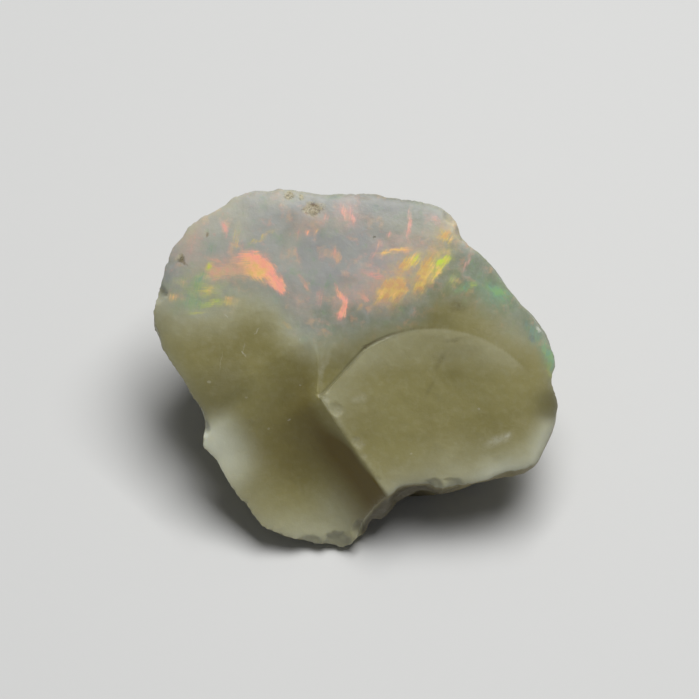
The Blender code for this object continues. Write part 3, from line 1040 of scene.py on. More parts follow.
GLOWS = (
    # Wide soft clouds of colour that the flashes float in.
    Glow(-11.6, 6.0, 2.7, 1.7, 15, Hue.LIME, strength=0.20),
    Glow(-9.8, 7.6, 2.6, 1.2, 0, Hue.PEACH, strength=0.36),
    Glow(-12.4, 9.6, 1.8, 1.2, 60, Hue.PEACH, strength=0.22),
    Glow(-3.6, 10.9, 1.6, 1.0, 20, Hue.PEACH, strength=0.22),
    Glow(-4.2, 5.0, 2.0, 1.0, -50, Hue.PEACH, strength=0.2),
    Glow(-1.0, 5.0, 1.7, 0.9, 80, Hue.ROSE, strength=0.28),
    Glow(-0.6, 11.5, 1.4, 1.1, 90, Hue.ROSE, strength=0.3),
    Glow(1.5, 6.2, 2.6, 1.9, 20, Hue.ROSE, strength=0.26),
    Glow(3.0, 9.2, 2.2, 0.9, 10, Hue.ROSE, strength=0.24),
    Glow(4.5, 7.4, 3.4, 2.1, 45, Hue.AMBER, strength=0.26),
    Glow(2.6, 5.9, 2.0, 1.4, 50, Hue.AMBER, strength=0.34),
    Glow(7.0, 10.2, 1.7, 1.1, 60, Hue.AMBER, strength=0.25),
    Glow(6.2, 8.0, 1.4, 0.7, 50, Hue.LIME, strength=0.25),
    Glow(10.2, 5.6, 2.2, 1.2, -35, Hue.GREEN, strength=0.35),
    Glow(14.2, 0.5, 1.7, 0.9, -75, Hue.GREEN, strength=0.3),
)

MARKS = (
    # Fine healed cracks and flecks in the trough, and two soft pale streaks over its top.
    Mark(-9.7, 3.9, 0.22, 0.05, -35, strength=0.25),
    Mark(-7.4, 2.85, 0.3, 0.06, 60, strength=0.25),
    Mark(-8.4, 1.6, 0.45, 0.05, 82, strength=0.12),
    Mark(-8.4, 1.2, 0.28, 0.05, -50, strength=0.3),
    Mark(-10.1, 0.6, 0.8, 0.045, 84, strength=0.10),
    Mark(-4.2, 2.25, 0.14, 0.05, 80, strength=0.25),
    Mark(-11.0, -1.0, 0.16, 0.12, 0, strength=0.2),
    Mark(-8.25, -2.1, 0.1, 0.08, 0, strength=0.25),
    Mark(-4.2, -1.2, 0.12, 0.08, 0, strength=0.2),
    Mark(-5.0, -3.75, 0.14, 0.07, 30, strength=0.25),
    Mark(-6.5, -4.5, 0.1, 0.08, 0, strength=0.23),
    Mark(-3.75, -6.4, 0.12, 0.09, 50, strength=0.3),
    Mark(-2.6, -0.2, 1.6, 0.22, 88, strength=0.14, edge=0.95),
    Mark(-2.1, 0.9, 1.2, 0.2, 66, strength=0.10, edge=0.95),
    # The bruise and the pale breaks on the plateau.
    Mark(10.6, -5.3, 1.1, 0.4, 25, strength=0.26, edge=0.95),
    Mark(11.3, -4.9, 0.3, 0.14, 40, strength=0.24, edge=0.9),
    Mark(0.3, -2.2, 0.7, 0.35, 10, strength=0.15, edge=0.9),
    # painted highlight: a glint on the right rim
    Mark(13.65, 3.0, 0.3, 0.14, -50, strength=0.7),
    Mark(9.2, -3.0, 0.12, 0.1, 0, strength=0.2),
    Mark(4.1, -6.3, 0.1, 0.08, 0, strength=0.2),
    # Stains and dark specks.
    Mark(7.6, 4.7, 0.75, 0.45, -15, tone=Tone.SMUDGE_AND_SHADE, strength=0.4, edge=0.95),
    Mark(7.3, 2.2, 0.8, 0.18, 10, tone=Tone.SMUDGE_AND_SHADE, strength=0.3, edge=0.9),
    Mark(6.3, 0.6, 0.9, 0.25, 58, tone=Tone.SMUDGE_AND_SHADE, strength=0.25, edge=0.95),
    Mark(5.5, -1.5, 0.9, 0.2, 66, tone=Tone.SMUDGE_AND_SHADE, strength=0.18, edge=0.95),
    Mark(0.75, 1.8, 0.4, 0.05, 12, tone=Tone.SMUDGE_AND_SHADE, strength=0.5),
    Mark(1.95, 2.2, 0.5, 0.035, 18, tone=Tone.SMUDGE_AND_SHADE, strength=0.6),
    Mark(0.75, 1.62, 0.1, 0.07, 50, tone=Tone.SMUDGE_AND_SHADE, strength=0.7),
    Mark(1.35, 9.83, 0.09, 0.08, 0, tone=Tone.SMUDGE_AND_SHADE, strength=0.8),
    Mark(13.2, 2.3, 0.35, 0.25, -30, tone=Tone.SLATE, strength=0.6, edge=0.9),
    Mark(-14.0, 6.9, 0.6, 0.3, 70, tone=Tone.SLATE, strength=0.2, edge=0.9),
    Mark(-11.1, 10.0, 0.25, 0.12, 75, tone=Tone.UMBER, strength=0.6, edge=0.8),
    Mark(0.7, 12.7, 0.5, 0.2, 0, tone=Tone.UMBER, strength=0.45, edge=0.9),
    Mark(-13.1, 8.25, 0.34, 0.24, 10, tone=Tone.SMUDGE_AND_SHADE, strength=0.95, edge=0.6),
    Mark(-12.9, 8.0, 0.45, 0.14, -30, tone=Tone.UMBER, strength=0.6, edge=0.8),
)


class WearAndPaintedLight(Enum):
    """The mesh attributes that tell the finish how each point has weathered and where light and
    shade are painted, from 0 to 1.
    """

    PALE_AND_LIT = "pale_and_lit"  # paler stone, and painted light through thin stone and on slopes facing the light
    PAINTED_BROWN_SHADE = "painted_brown_shade"  # painted brown shade on the trough's wall under the ridge and on the front side
    PAINTED_SHADE = "painted_shade"  # painted shade on slopes that turn from the light, on the crack's step and along some rims
    FROST = "frost"  # chalky with fine breaks
    GRIT = "grit"
    # dirt in the crack and the pits, and painted shade on the broken sides
    DIRT_AND_SHADE = "dirt_and_shade"


@dataclass(frozen=True)
class Spot:
    """Where a shaded point lies, in millimetres, as sockets and values of its shader."""

    world: Any
    on_face: Any
    right: Value
    out: Value
    above: Value  # over the seam between the potch and the precious opal
    specks: Value  # noise as fine as grit, without a measure


@dataclass(frozen=True)
class OpalFinish:
    """The stone's finish: olive potch under a milky band that holds the fire."""

    face: ShowFace
    potch: Colour = (0.252, 0.228, 0.092)
    dark_potch: Colour = (0.222, 0.198, 0.075)
    painted_shade_brown: Colour = (0.115, 0.080, 0.008)
    pale_and_lit_potch: Colour = (0.60, 0.61, 0.48)
    painted_shade_potch: Colour = (0.105, 0.095, 0.042)
    potch_clouds: Cloud = Cloud(0.25, 0.33, 0.68)
    potch_flecks: Cloud = Cloud(1.8, 0.4, 0.75, 3.0, 0.6)
    fleck_strength: float = 0.06
    milk: Colour = (0.37, 0.375, 0.345)
    lilac_milk: Colour = (0.34, 0.34, 0.335)
    lilac_clouds: Cloud = Cloud(0.22, 0.42, 0.62)
    green_milk: Colour = (0.210, 0.238, 0.168)
    green_clouds: Cloud = Cloud(0.3, 0.5, 0.7, shift=(31.0, 7.0, 3.0))
    warm_milk: Colour = (0.44, 0.425, 0.335)
    warm_clouds: Cloud = Cloud(0.4, 0.45, 0.7, 3.0, shift=(3.0, 47.0, 9.0))
    wisp: Colour = (0.52, 0.52, 0.49)
    wisps: Cloud = Cloud(1.0, 0.45, 0.75, 4.0, 0.6)
    wisp_lie: Point3 = (1.6, 1.0, 0.7)  # how finely the wisps lie, along each axis
    clear_milk: Colour = (0.15, 0.155, 0.14)
    play: float = 0.30  # how much of the faint play of colour shows
    play_patches: Cloud = Cloud(1.6, 0.38, 0.70, 3.0, 0.6, (77.0, 5.0, 2.0))
    streak_size: Point2 = (1.3, 0.13)  # length and width of a flash's fine streaks
    streak: Cloud = Cloud(1.0, 0.30, 0.70, 3.0, 0.65)
    fire_patches: Cloud = Cloud(1.9, 0.32, 0.62, 3.0, 0.65)
    hue_drift: Cloud = Cloud(2.0, 0.38, 0.66, 3.0, shift=(40.0, 9.0, 0.0))
    drift_strength: float = 0.6
    fire_bends: tuple[Point2, ...] = ((0.9, 0.6), (3.2, 0.34))  # grain and reach of each
    mark_bends: tuple[Point2, ...] = ((1.3, 0.35), (5.0, 0.16))
    haze: float = 1.8  # how much wider a flash's haze is than the flash
    haze_strength: float = 0.30
    hidden_strength: float = 0.85
    chalk: Colour = (0.62, 0.61, 0.52)
    grit: Colour = (0.50, 0.45, 0.30)
    waxiness: float = 0.34  # least roughness of the clean stone
    ripple_height: float = 0.00007  # metres
    glow: float = 0.45  # share of the light that goes through the surface
    glow_reach: float = 0.0011  # metres
    glow_hue: Colour = (1.0, 0.85, 0.5)
    refraction: float = 1.4
    front_starts: float = -3.6  # out, where the face's own fire and marks begin and are full
    front_full: float = -2.8
    seam_blur: float = 0.9
    seam: tuple[Point2, ...] = (
        (-15.2, 14.2), (-11.9, 14.3), (-9.7, 14.6), (-8.3, 15.2), (-6.7, 15.2), (-4.6, 13.8),
        (-2.9, 13.6), (1.0, 13.6), (4.6, 14.5), (6.6, 15.5), (9.3, 15.3), (13.4, 12.4),
        (15.2, 9.2),
    )  # height of the band's lower edge, by the distance to the right

    def spot(self, shader: Shader) -> Spot:
        """Where the shaded point lies in the world, on the face and over the seam.

        Args:
            shader: The shader.

        Returns:
            The point's places and heights.
        """
        coordinates = shader.node("ShaderNodeTexCoord").outputs["Object"]
        world = shader.vector("MULTIPLY", coordinates, (1.0 / MM,) * 3)
        from_seat = shader.vector("SUBTRACT", world, (0.0, 0.0, self.face.seat))
        lean, rise = math.cos(self.face.elevation), math.sin(self.face.elevation)
        split = shader.node("ShaderNodeSeparateXYZ", {0: world})
        right, height = Value(shader, split.outputs["X"]), Value(shader, split.outputs["Z"])
        up = shader.vector("DOT_PRODUCT", from_seat, (0.0, rise, lean), output="Value")
        out = shader.vector("DOT_PRODUCT", from_seat, (0.0, -lean, rise), output="Value")
        on_face = shader.node("ShaderNodeCombineXYZ", {"X": right, "Y": up}).outputs[0]
        above = self.over_seam(shader, world, right, height)
        return Spot(world, on_face, right, out, above, shader.noise(world, 5.0, 3.0, 0.7))

    def over_seam(self, shader: Shader, world: Any, right: Value, height: Value) -> Value:
        """Height over the seam between the potch below and the precious opal above it.

        The seam's named points are the stops of a smooth ramp, and noise makes it wander.

        Args:
            shader: The shader.
            world: World place.
            right: Distance to the right.
            height: Height over the foot.

        Returns:
            The height over the seam, below 0 in the potch.
        """
        low, span = self.seam[0][0], self.seam[-1][0] - self.seam[0][0]
        share = (right - low) * (1.0 / span)
        top = max(level for _, level in self.seam)
        stops = tuple(((x - low) / span, level / top) for x, level in self.seam)
        ramp = shader.node("ShaderNodeValToRGB", {0: share}, stops=stops)
        ramp.color_ramp.interpolation = "B_SPLINE"
        level = Value(shader, ramp.outputs[0]) * top
        wander = shader.noise(world, 0.45, 3.0) + shader.noise(world, 2.4) * 0.3 - 0.65
        return height + wander - level

    def streaks(self, shader: Shader, on_face: Any, grain: Grain) -> Value:
        """Fine streaks in one direction, from 0 to 1: noise that is drawn out along it."""
        return shader.cloud(shader.drawn(on_face, grain.value, self.streak_size), self.streak)

    def bent(self, shader: Shader, on_face: Any, bends: tuple[Point2, ...]) -> Any:
        """Push a place on the face about.

        Args:
            shader: The shader.
            on_face: Place on the face.
            bends: The noises that push it, each of a grain and a reach.

        Returns:
            The pushed place.
        """
        for grain, reach in bends:
            inputs = {"Vector": on_face, "Scale": grain, "Detail": 1.0}
            push = shader.node("ShaderNodeTexNoise", inputs).outputs["Color"]
            on_face = shader.vector("MULTIPLY_ADD", push, (reach, reach, 0.0), on_face)
            on_face = shader.vector("SUBTRACT", on_face, (reach / 2.0, reach / 2.0, 0.0))
        return on_face

    def cones(self, shader: Shader, at: Any, flashes: list[Flash]) -> Value:
        """The sum of the flashes' cones, each as high as its strength and wider than the flash.

        Args:
            shader: The shader.
            at: Place on the face.
            flashes: The flashes.

        Returns:
            The sum at that place.
        """
        total: Any = 0.0
        for flash in flashes:
            size = (flash.half_length * self.haze, flash.half_width * self.haze)
            near = shader.near(at, (flash.right, flash.up), flash.turn, size)
            total = near.math("MULTIPLY_ADD", flash.strength, total)
        return total

    def masks(self, shader: Shader, at: Any, patches: list[Glow] | list[Mark]) -> Value:
        """The sum of soft ellipses, one for each patch, each times its strength.

        Args:
            shader: The shader.
            at: Place on the face.
            patches: The patches.

        Returns:
            The sum at that place.
        """
        total: Any = 0.0
        for patch in patches:
            reach = 1.0 + 0.5 * patch.edge
            size = (patch.half_length * reach, patch.half_width * reach)
            near = shader.near(at, (patch.right, patch.up), patch.turn, size)
            soft = near.step(0.0, 1.5 * patch.edge / reach)
            total = soft.math("MULTIPLY_ADD", patch.strength, total)
        return total

    def fire(self, shader: Shader, on_face: Any, colour: Any, gate: Value) -> Any:
        """Lay the named flashes and glows over a colour, hue by hue.

        A flash shows where its cone is high. The streaks raise and lower that limit, so that
        its ends are feathered, and a faint haze lies round it. Slow noise lets each hue drift
        towards its neighbour and dims the flashes in patches.

        Args:
            shader: The shader.
            on_face: Place on the face.
            colour: The colour under the flashes.
            gate: Where flashes may show.

        Returns:
            The colour with its fire.
        """
        at = self.bent(shader, on_face, self.fire_bends)
        streaked = {grain: self.streaks(shader, on_face, grain) for grain in Grain}
        patchy = shader.cloud(on_face, self.fire_patches)
        drift = shader.cloud(on_face, self.hue_drift) * self.drift_strength
        for hue in Hue:
            glows = [glow for glow in GLOWS if glow.hue is hue]
            total: Any = self.masks(shader, at, glows) * (patchy * 0.7 + 0.5) if glows else 0.0
            for grain in Grain:
                chosen = [flash for flash in FLASHES if (flash.hue, flash.grain) == (hue, grain)]
                if chosen:
                    cones = self.cones(shader, at, chosen)
                    core = (cones + streaked[grain] * 0.24).step(0.26, 1.0)
                    lively = core * (streaked[grain] * 0.58 + patchy * 0.22 + 0.3)
                    total = lively + cones * self.haze_strength + total
            shade = shader.mix(drift, hue.value, DRIFTS[hue].value)
            colour = shader.mix((total * gate).least(1.0), colour, shade)
        return colour

    def hidden_fire(self, shader: Shader, world: Any, colour: Any, gate: Value) -> Any:
        """Lay sparse flashes over the band on the sides: cells that take a hue or stay milky.

        Args:
            shader: The shader.
            world: World place.
            colour: The colour under the flashes.
            gate: Where flashes may show.

        Returns:
            The colour with its fire.
        """
        pull = shader.node("ShaderNodeTexNoise", {"Vector": world, "Scale": 1.3, "Detail": 2.0})
        bent = shader.vector("MULTIPLY_ADD", pull.outputs["Color"], (1.1,) * 3, world)
        drawn = shader.vector("MULTIPLY", bent, (0.62, 0.62, 0.34))
        cells = shader.node("ShaderNodeTexVoronoi", {"Vector": drawn, "Scale": 1.0})
        pick = shader.node("ShaderNodeSeparateColor", {0: cells.outputs["Color"]})
        stops = tuple(
            (i / 7.0, hue.value)
            for i, hue in enumerate((Hue.GREEN, Hue.ORANGE, Hue.SALMON, Hue.LIME, Hue.ROSE))
        )
        hues = shader.node("ShaderNodeValToRGB", {0: pick.outputs["Red"]}, stops=stops)
        lit = Value(shader, pick.outputs["Green"]).step(0.66, 0.74)
        edge = Value(shader, cells.outputs["Distance"]).step(0.62, 0.25)
        fine = shader.noise(shader.vector("MULTIPLY", world, (5.0, 5.0, 1.2)), 1.0).step(0.3, 0.65)
        shown = lit * edge * fine * gate * self.hidden_strength
        return shader.mix(shown, colour, hues.outputs[0])

    def milky(self, shader: Shader, spot: Spot) -> Any:
        """The band's own body colour: grey milk with lilac, green and warm clouds.

        The green lies to the right and along the seam, and the warmth lies to the left, above
        the seam. Away from the seam the milk is clearer, most of all on the right.

        Args:
            shader: The shader.
            spot: Where the shaded point lies.

        Returns:
            The colour.
        """
        right, above = spot.right, spot.above
        lilac = shader.cloud(spot.world, self.lilac_clouds)
        colour = shader.mix(lilac * 0.7, self.milk, self.lilac_milk)
        green = shader.cloud(spot.world, self.green_clouds) * 0.4 + right.step(3.0, 10.0) * 0.7
        green = green + above.step(2.6, 0.1) * (right.step(-7.0, 0.0) * 0.4 + 0.4)
        colour = shader.mix(green.least(1.0), colour, self.green_milk)
        warm = shader.cloud(spot.world, self.warm_clouds) * 0.6 + right.step(-5.0, -12.0) * 0.6
        colour = shader.mix((warm * above.step(0.8, 3.0)).least(1.0), colour, self.warm_milk)
        colour = self.faint_play(shader, spot.world, colour)
        wisps = shader.cloud(shader.vector("MULTIPLY", spot.world, self.wisp_lie), self.wisps)
        colour = shader.mix(wisps * 0.14, colour, self.wisp)
        clear = above.step(2.8, 5.4) * (right.step(-2.0, 5.0) * 0.48 + 0.27)
        return shader.mix(clear, colour, self.clear_milk)

    def faint_play(self, shader: Shader, world: Any, colour: Any) -> Any:
        """Lay faint patches of green and rose over the milk.

        Args:
            shader: The shader.
            world: World place.
            colour: The milk's colour.

        Returns:
            The colour with its faint play.
        """
        play = shader.noise(shader.vector("ADD", world, (9.0, 1.0, 61.0)), 0.75, 3.0, 0.6)
        stops = (
            (0.30, Hue.TEAL.value), (0.38, Hue.GREEN.value), (0.44, self.milk),
            (0.52, self.milk), (0.58, Hue.ROSE.value), (0.64, Hue.ORANGE.value),
        )
        hues = shader.node("ShaderNodeValToRGB", {0: play}, stops=stops).outputs[0]
        return shader.mix(shader.cloud(world, self.play_patches) * self.play, colour, hues)

    def potch_body(self, shader: Shader, spot: Spot, wear_and_light: dict[WearAndPaintedLight, Value]) -> Any:
        """The potch's body colour: cloudy olive, paler near the band, most of all on the left, under
        painted light and shade.

        Args:
            shader: The shader.
            spot: Where the shaded point lies.
            wear_and_light: The mesh's own attributes.

        Returns:
            The colour.
        """
        clouds = shader.cloud(spot.world, self.potch_clouds)
        colour = shader.mix(clouds, self.dark_potch, self.potch)
        flecks = shader.cloud(spot.world, self.potch_flecks) * self.fleck_strength
        colour = shader.mix(flecks, colour, self.pale_and_lit_potch)
        near_band = spot.above.step(-2.1, 0.3) * (spot.right.step(4.0, -6.0) * 0.38 + 0.06)
        # paler stone and painted light
        pale_and_lit = (wear_and_light[WearAndPaintedLight.PALE_AND_LIT] + near_band).least(1.0)
        colour = shader.mix(pale_and_lit, colour, self.pale_and_lit_potch)
        # painted shade
        colour = shader.mix(wear_and_light[WearAndPaintedLight.PAINTED_SHADE], colour, self.painted_shade_potch)
        # painted brown shade
        return shader.mix(wear_and_light[WearAndPaintedLight.PAINTED_BROWN_SHADE], colour, self.painted_shade_brown)

    def worn_and_shaded(
        self, shader: Shader, spot: Spot, colour: Any, front: Value, wear_and_light: dict[WearAndPaintedLight, Value]
    ) -> Any:
        """Lay the marks and one painted glint, the frost, the grit, the dirt and the painted shade
        of the broken sides over the clean stone.

        Args:
            shader: The shader.
            spot: Where the shaded point lies.
            colour: The clean stone's colour.
            front: Where the face's marks may show.
            wear_and_light: The mesh's own attributes.

        Returns:
            The worn stone's colour.
        """
        specks = spot.specks
        bent = self.bent(shader, spot.on_face, self.mark_bends)
        for tone in Tone:
            chosen = [mark for mark in MARKS if mark.tone is tone]
            shown = self.masks(shader, bent, chosen) * front * (specks.step(0.3, 0.6) * 0.6 + 0.5)
            colour = shader.mix(shown.least(1.0), colour, tone.value)
        frosted = wear_and_light[WearAndPaintedLight.FROST] * (specks.step(0.35, 0.62) * 0.6 + 0.4)
        colour = shader.mix(frosted, colour, self.chalk)
        gritty = shader.mix(specks.step(0.38, 0.52), Tone.UMBER.value, self.grit)
        colour = shader.mix(wear_and_light[WearAndPaintedLight.GRIT] * specks.step(0.2, 0.5), colour, gritty)
        # dirt, and painted shade on the broken sides
        return shader.mix(wear_and_light[WearAndPaintedLight.DIRT_AND_SHADE], colour, Tone.SMUDGE_AND_SHADE.value)

    def ripples(self, shader: Shader, spot: Spot, wear_and_light: dict[WearAndPaintedLight, Value]) -> Any:
        """The waxy skin's fine relief, rougher on frost and grit.

        Args:
            shader: The shader.
            spot: Where the shaded point lies.
            wear_and_light: The mesh's own attributes.

        Returns:
            The bumped normal.
        """
        relief = shader.noise(spot.world, 1.6, 3.0, 0.55)
        relief = relief + shader.noise(spot.world, 9.0, 3.0, 0.6) * 0.18
        rough = wear_and_light[WearAndPaintedLight.FROST] * 0.5 + wear_and_light[WearAndPaintedLight.GRIT] * 0.9
        height = relief + spot.specks * rough
        inputs = {"Strength": 0.5, "Distance": self.ripple_height, "Height": height}
        return shader.node("ShaderNodeBump", inputs).outputs[0]

    def material(self) -> bpy.types.Material:
        """Build the stone's material.

        Returns:
            The material, on Object coordinates and the mesh's own attributes.
        """
        shader = Shader("opal_stone")
        spot = self.spot(shader)
        wear_and_light = {
            part: shader.value("ShaderNodeAttribute", "Fac", {}, attribute_name=part.value)
            for part in WearAndPaintedLight
        }
        band = spot.above.step(-self.seam_blur, self.seam_blur)
        front = spot.out.step(self.front_starts, self.front_full)
        colour = self.fire(shader, spot.on_face, self.milky(shader, spot), front)
        colour = self.hidden_fire(shader, spot.world, colour, (1.0 - front) * band)
        colour = shader.mix(band, self.potch_body(shader, spot, wear_and_light), colour)
        smear = shader.noise(spot.world, 1.1, 3.0) * 0.12
        surface = shader.node(
            "ShaderNodeBsdfPrincipled",
            {
                "Base Color": self.worn_and_shaded(shader, spot, colour, front, wear_and_light),
                "Roughness": smear + self.waxiness + wear_and_light[WearAndPaintedLight.FROST] * 0.2 + wear_and_light[WearAndPaintedLight.GRIT] * 0.35,
                "IOR": self.refraction,
                "Subsurface Weight": self.glow,
                "Subsurface Radius": self.glow_hue,
                "Subsurface Scale": self.glow_reach,
                "Normal": self.ripples(shader, spot, wear_and_light),
            },
        )
        shader.node("ShaderNodeOutputMaterial", {"Surface": surface.outputs[0]})
        return shader.material


class Measure(Enum):
    """What a zone of the face is measured by, in millimetres."""

    RIGHT = "right"
    UP = "up"
    ALONG = "down the ridge's line from its top"
    ASIDE = "to the left of the ridge's line"
    BEYOND = "outwards from the crack"
    TO_RIM = "to the nearest point of the rim"
    TO_CORNER = "to the ridge's top"


Measures = dict[Measure, Array]


@dataclass(frozen=True)
class Step:
    """A smooth step over one measure: 0 at start and 1 at full, which may lie on either side."""

    measure: Measure
    start: float
    full: float


RIGHT_OF_RIDGE = Step(Measure.ASIDE, 0.0, -0.001)
OUTSIDE_CRACK = Step(Measure.BEYOND, 0.0, 0.001)
INSIDE_CRACK = Step(Measure.BEYOND, 0.05, -0.1)


@dataclass(frozen=True)
class Zone:
    """A soft-edged zone of the face that takes a tone: its strength times all of its steps.

    It also fades as exp(-(m / fade)^power) of one measure m, and slow clouds make it uneven.
    """

    strength: float
    steps: tuple[Step, ...]
    fade: float = math.inf
    power: float = 1.0
    fades_by: Measure = Measure.TO_RIM
    unevenness: float = 0.0

    def cover(self, at: Measures, clouds: Array) -> Array:
        """How much of the tone each point takes.

        Args:
            at: Every measure of every point.
            clouds: Slow noise round 0.5.

        Returns:
            The zone's cover, from 0 to about its strength.
        """
        cover = self.strength * (1.0 + self.unevenness * (clouds - 0.5))
        cover = cover * np.exp(-((at[self.fades_by] / self.fade) ** self.power))
        for step in self.steps:
            cover = cover * ease(at[step.measure], step.start, step.full)
        return cover


@dataclass(frozen=True)
class WeatheringAndLight:
    """How every point of the stone has weathered, and where light and shade are painted on it: the
    attributes that the finish reads.
    """

    face: ShowFace
    pale_and_lit_zones: tuple[Zone, ...] = (
        # Paler stone and painted light: the flange on the left, and the trough's lower end.
        Zone(
            0.72,
            (
                Step(Measure.ASIDE, 4.8, 8.4), Step(Measure.ALONG, -4.2, -2.0),
                Step(Measure.ALONG, 3.4, -0.8),
            ),
        ),
        Zone(0.3, (Step(Measure.ALONG, 4.5, 9.0), Step(Measure.ASIDE, 0.6, 4.5))),
        # Paler stone and painted light through thin stone: the low side of the plateau, the
        # right-hand rim and the lip over the breaks.
        Zone(0.16, (Step(Measure.RIGHT, 3.0, 8.0), Step(Measure.UP, -4.0, -7.0))),
        Zone(0.2, (Step(Measure.RIGHT, 8.0, 13.0), Step(Measure.UP, 0.0, 3.5))),
        Zone(
            0.28,
            (
                Step(Measure.UP, -5.5, -7.5), Step(Measure.RIGHT, 0.0, 2.0),
                Step(Measure.RIGHT, 13.0, 10.0), RIGHT_OF_RIDGE,
            ),
            fade=0.9,
        ),
        Zone(
            0.558,
            (Step(Measure.RIGHT, 8.0, 11.0), Step(Measure.UP, -2.6, -4.0)),
            fade=0.95,
            power=1.5,
            unevenness=0.667,
        ),
        # Paler stone and painted light on the plateau's high side, under the crack, and on its
        # corner at the ridge's top.
        Zone(
            0.16,
            (
                Step(Measure.UP, -1.0, 1.0), Step(Measure.BEYOND, -4.5, -0.6), RIGHT_OF_RIDGE,
                INSIDE_CRACK,
            ),
        ),
        Zone(
            0.3,
            (RIGHT_OF_RIDGE, INSIDE_CRACK),
            fade=2.6,
            power=2.0,
            fades_by=Measure.TO_CORNER,
        ),
    )
    painted_shade_zones: tuple[Zone, ...] = (
        # Painted shade on slopes that turn from the light: above the flange, and outside the crack.
        Zone(
            0.5,
            (
                Step(Measure.ASIDE, 2.6, 5.0), Step(Measure.ALONG, -2.2, -3.8),
                Step(Measure.ALONG, -7.6, -4.8),
            ),
        ),
        Zone(
            0.24,
            (
                Step(Measure.BEYOND, 2.2, 0.3), Step(Measure.RIGHT, 9.0, 5.0),
                Step(Measure.UP, 0.0, 0.001), OUTSIDE_CRACK,
            ),
        ),
        # Painted shade on the step of the crack.
        Zone(
            0.38,
            (
                Step(Measure.BEYOND, -0.36, -0.18), Step(Measure.BEYOND, 0.20, 0.02),
                Step(Measure.ASIDE, 0.101, 0.1), Step(Measure.UP, -2.601, -2.6),
                Step(Measure.RIGHT, 5.0, 2.0),
            ),
        ),
        # The rims at the lower end, at the lower left and on the right.
        Zone(0.5, (Step(Measure.ALONG, 7.5, 10.0),), fade=0.8),
        Zone(0.28, (Step(Measure.ALONG, 0.5, 3.0), Step(Measure.ASIDE, 5.0, 7.5)), fade=1.6),
        Zone(
            0.45,
            (
                Step(Measure.RIGHT, 12.4, 14.4), Step(Measure.UP, -1.0, -2.5),
                Step(Measure.UP, -4.4, -3.2),
            ),
        ),
    )
    rim_light: Point2 = (0.20, 0.12)  # painted light along the rim: everywhere, and what the lower left adds
    rim_light_reach: Point2 = (0.6, 0.8)
    shaded_wall: Point2 = (0.8, 1.9)  # middle and half width of the painted brown shade under the ridge
    shaded_floor: Point2 = (4.0, 3.0)
    rim_frost: float = 0.15
    frost_reach: float = 0.2
    chip_frost: float = 0.16
    ridge_frost: float = 0.14

    def measures(self, right: Array, up: Array, to_rim: Array) -> Measures:
        """Every measure of every point of the face.

        Args:
            right: Places to the right.
            up: Places up the face.
            to_rim: Distance to the rim.

        Returns:
            The measures.
        """
        along, aside = self.face.from_the_ridge(right, up)
        return {
            Measure.RIGHT: right,
            Measure.UP: up,
            Measure.ALONG: along,
            Measure.ASIDE: aside,
            Measure.BEYOND: self.face.beyond(right, up),
            Measure.TO_RIM: to_rim,
            Measure.TO_CORNER: np.hypot(along, aside),
        }

    def lit_thin_rim(self, at: Measures) -> Array:
        """Painted light through the thin rim, wider and paler at the lower left and faint at the
        right.

        Args:
            at: Every measure of every point.

        Returns:
            How much painted light the rim lays on each point.
        """
        right, up = at[Measure.RIGHT], at[Measure.UP]
        low_left = ease(up, -2.5, -6.5) * ease(-right, -3.0, 4.0)
        reach = self.rim_light_reach[0] + self.rim_light_reach[1] * low_left
        strength = self.rim_light[0] + self.rim_light[1] * low_left
        kept = 1.0 - 0.7 * ease(right, 10.0, 13.0) * ease(up, -5.0, -3.0)
        return strength * np.exp(-at[Measure.TO_RIM] / reach) * kept

    def depth(self, at: Measures) -> Array:
        """Painted brown shade in the trough: a bell over the wall under the ridge and one over the
        floor.

        Each bell is exp(-((d - middle) / half width)^2) of the distance d past the trough's
        edge. It starts softly at the top of the ridge and crisply further down.

        Args:
            at: Every measure of every point.

        Returns:
            How much painted brown shade each point takes.
        """
        along = at[Measure.ALONG]
        past_edge = at[Measure.ASIDE] + self.face.veer(along)
        wall = np.exp(-(((past_edge - self.shaded_wall[0]) / self.shaded_wall[1]) ** 2))
        wall = wall * (0.56 + 0.54 * ease(along, 0.5, 5.0))
        floor = np.exp(-(((past_edge - self.shaded_floor[0]) / self.shaded_floor[1]) ** 2))
        floor = floor * 0.4 * ease(along, 7.0, 2.5)
        softness = 1.5 - 1.0 * ease(along, 2.0, 5.0) - 0.35 * ease(along, 6.0, 8.0)
        return (wall + floor) * ease(past_edge, 0.0, softness) * ease(along, -5.0, 2.0)

    def frost(self, at: Measures, clouds: Array) -> Array:
        """Frost along the ridge, in the small chips beside it and along the rim.

        Args:
            at: Every measure of every point.
            clouds: Slow noise round 0.5.

        Returns:
            How frosty each point is.
        """
        by_ridge = np.exp(-((at[Measure.ASIDE] / 0.4) ** 2)) * ease(at[Measure.ALONG], 0.2, 1.0)
        frost = self.ridge_frost * by_ridge * (0.5 + 0.5 * clouds)
        for chip in self.face.ridge_chips:
            apart = np.hypot(at[Measure.RIGHT] - chip.right, at[Measure.UP] - chip.up)
            reach = math.sqrt(2.0 * chip.radius * chip.depth)
            in_chip = ease(apart, 1.3 * reach, 0.4 * reach)
            frost = np.maximum(frost, self.chip_frost * in_chip)
        frost = frost * (at[Measure.ASIDE] < 0.1)
        by_rim = np.exp(-at[Measure.TO_RIM] / self.frost_reach)
        return np.maximum(frost, self.rim_frost * by_rim)

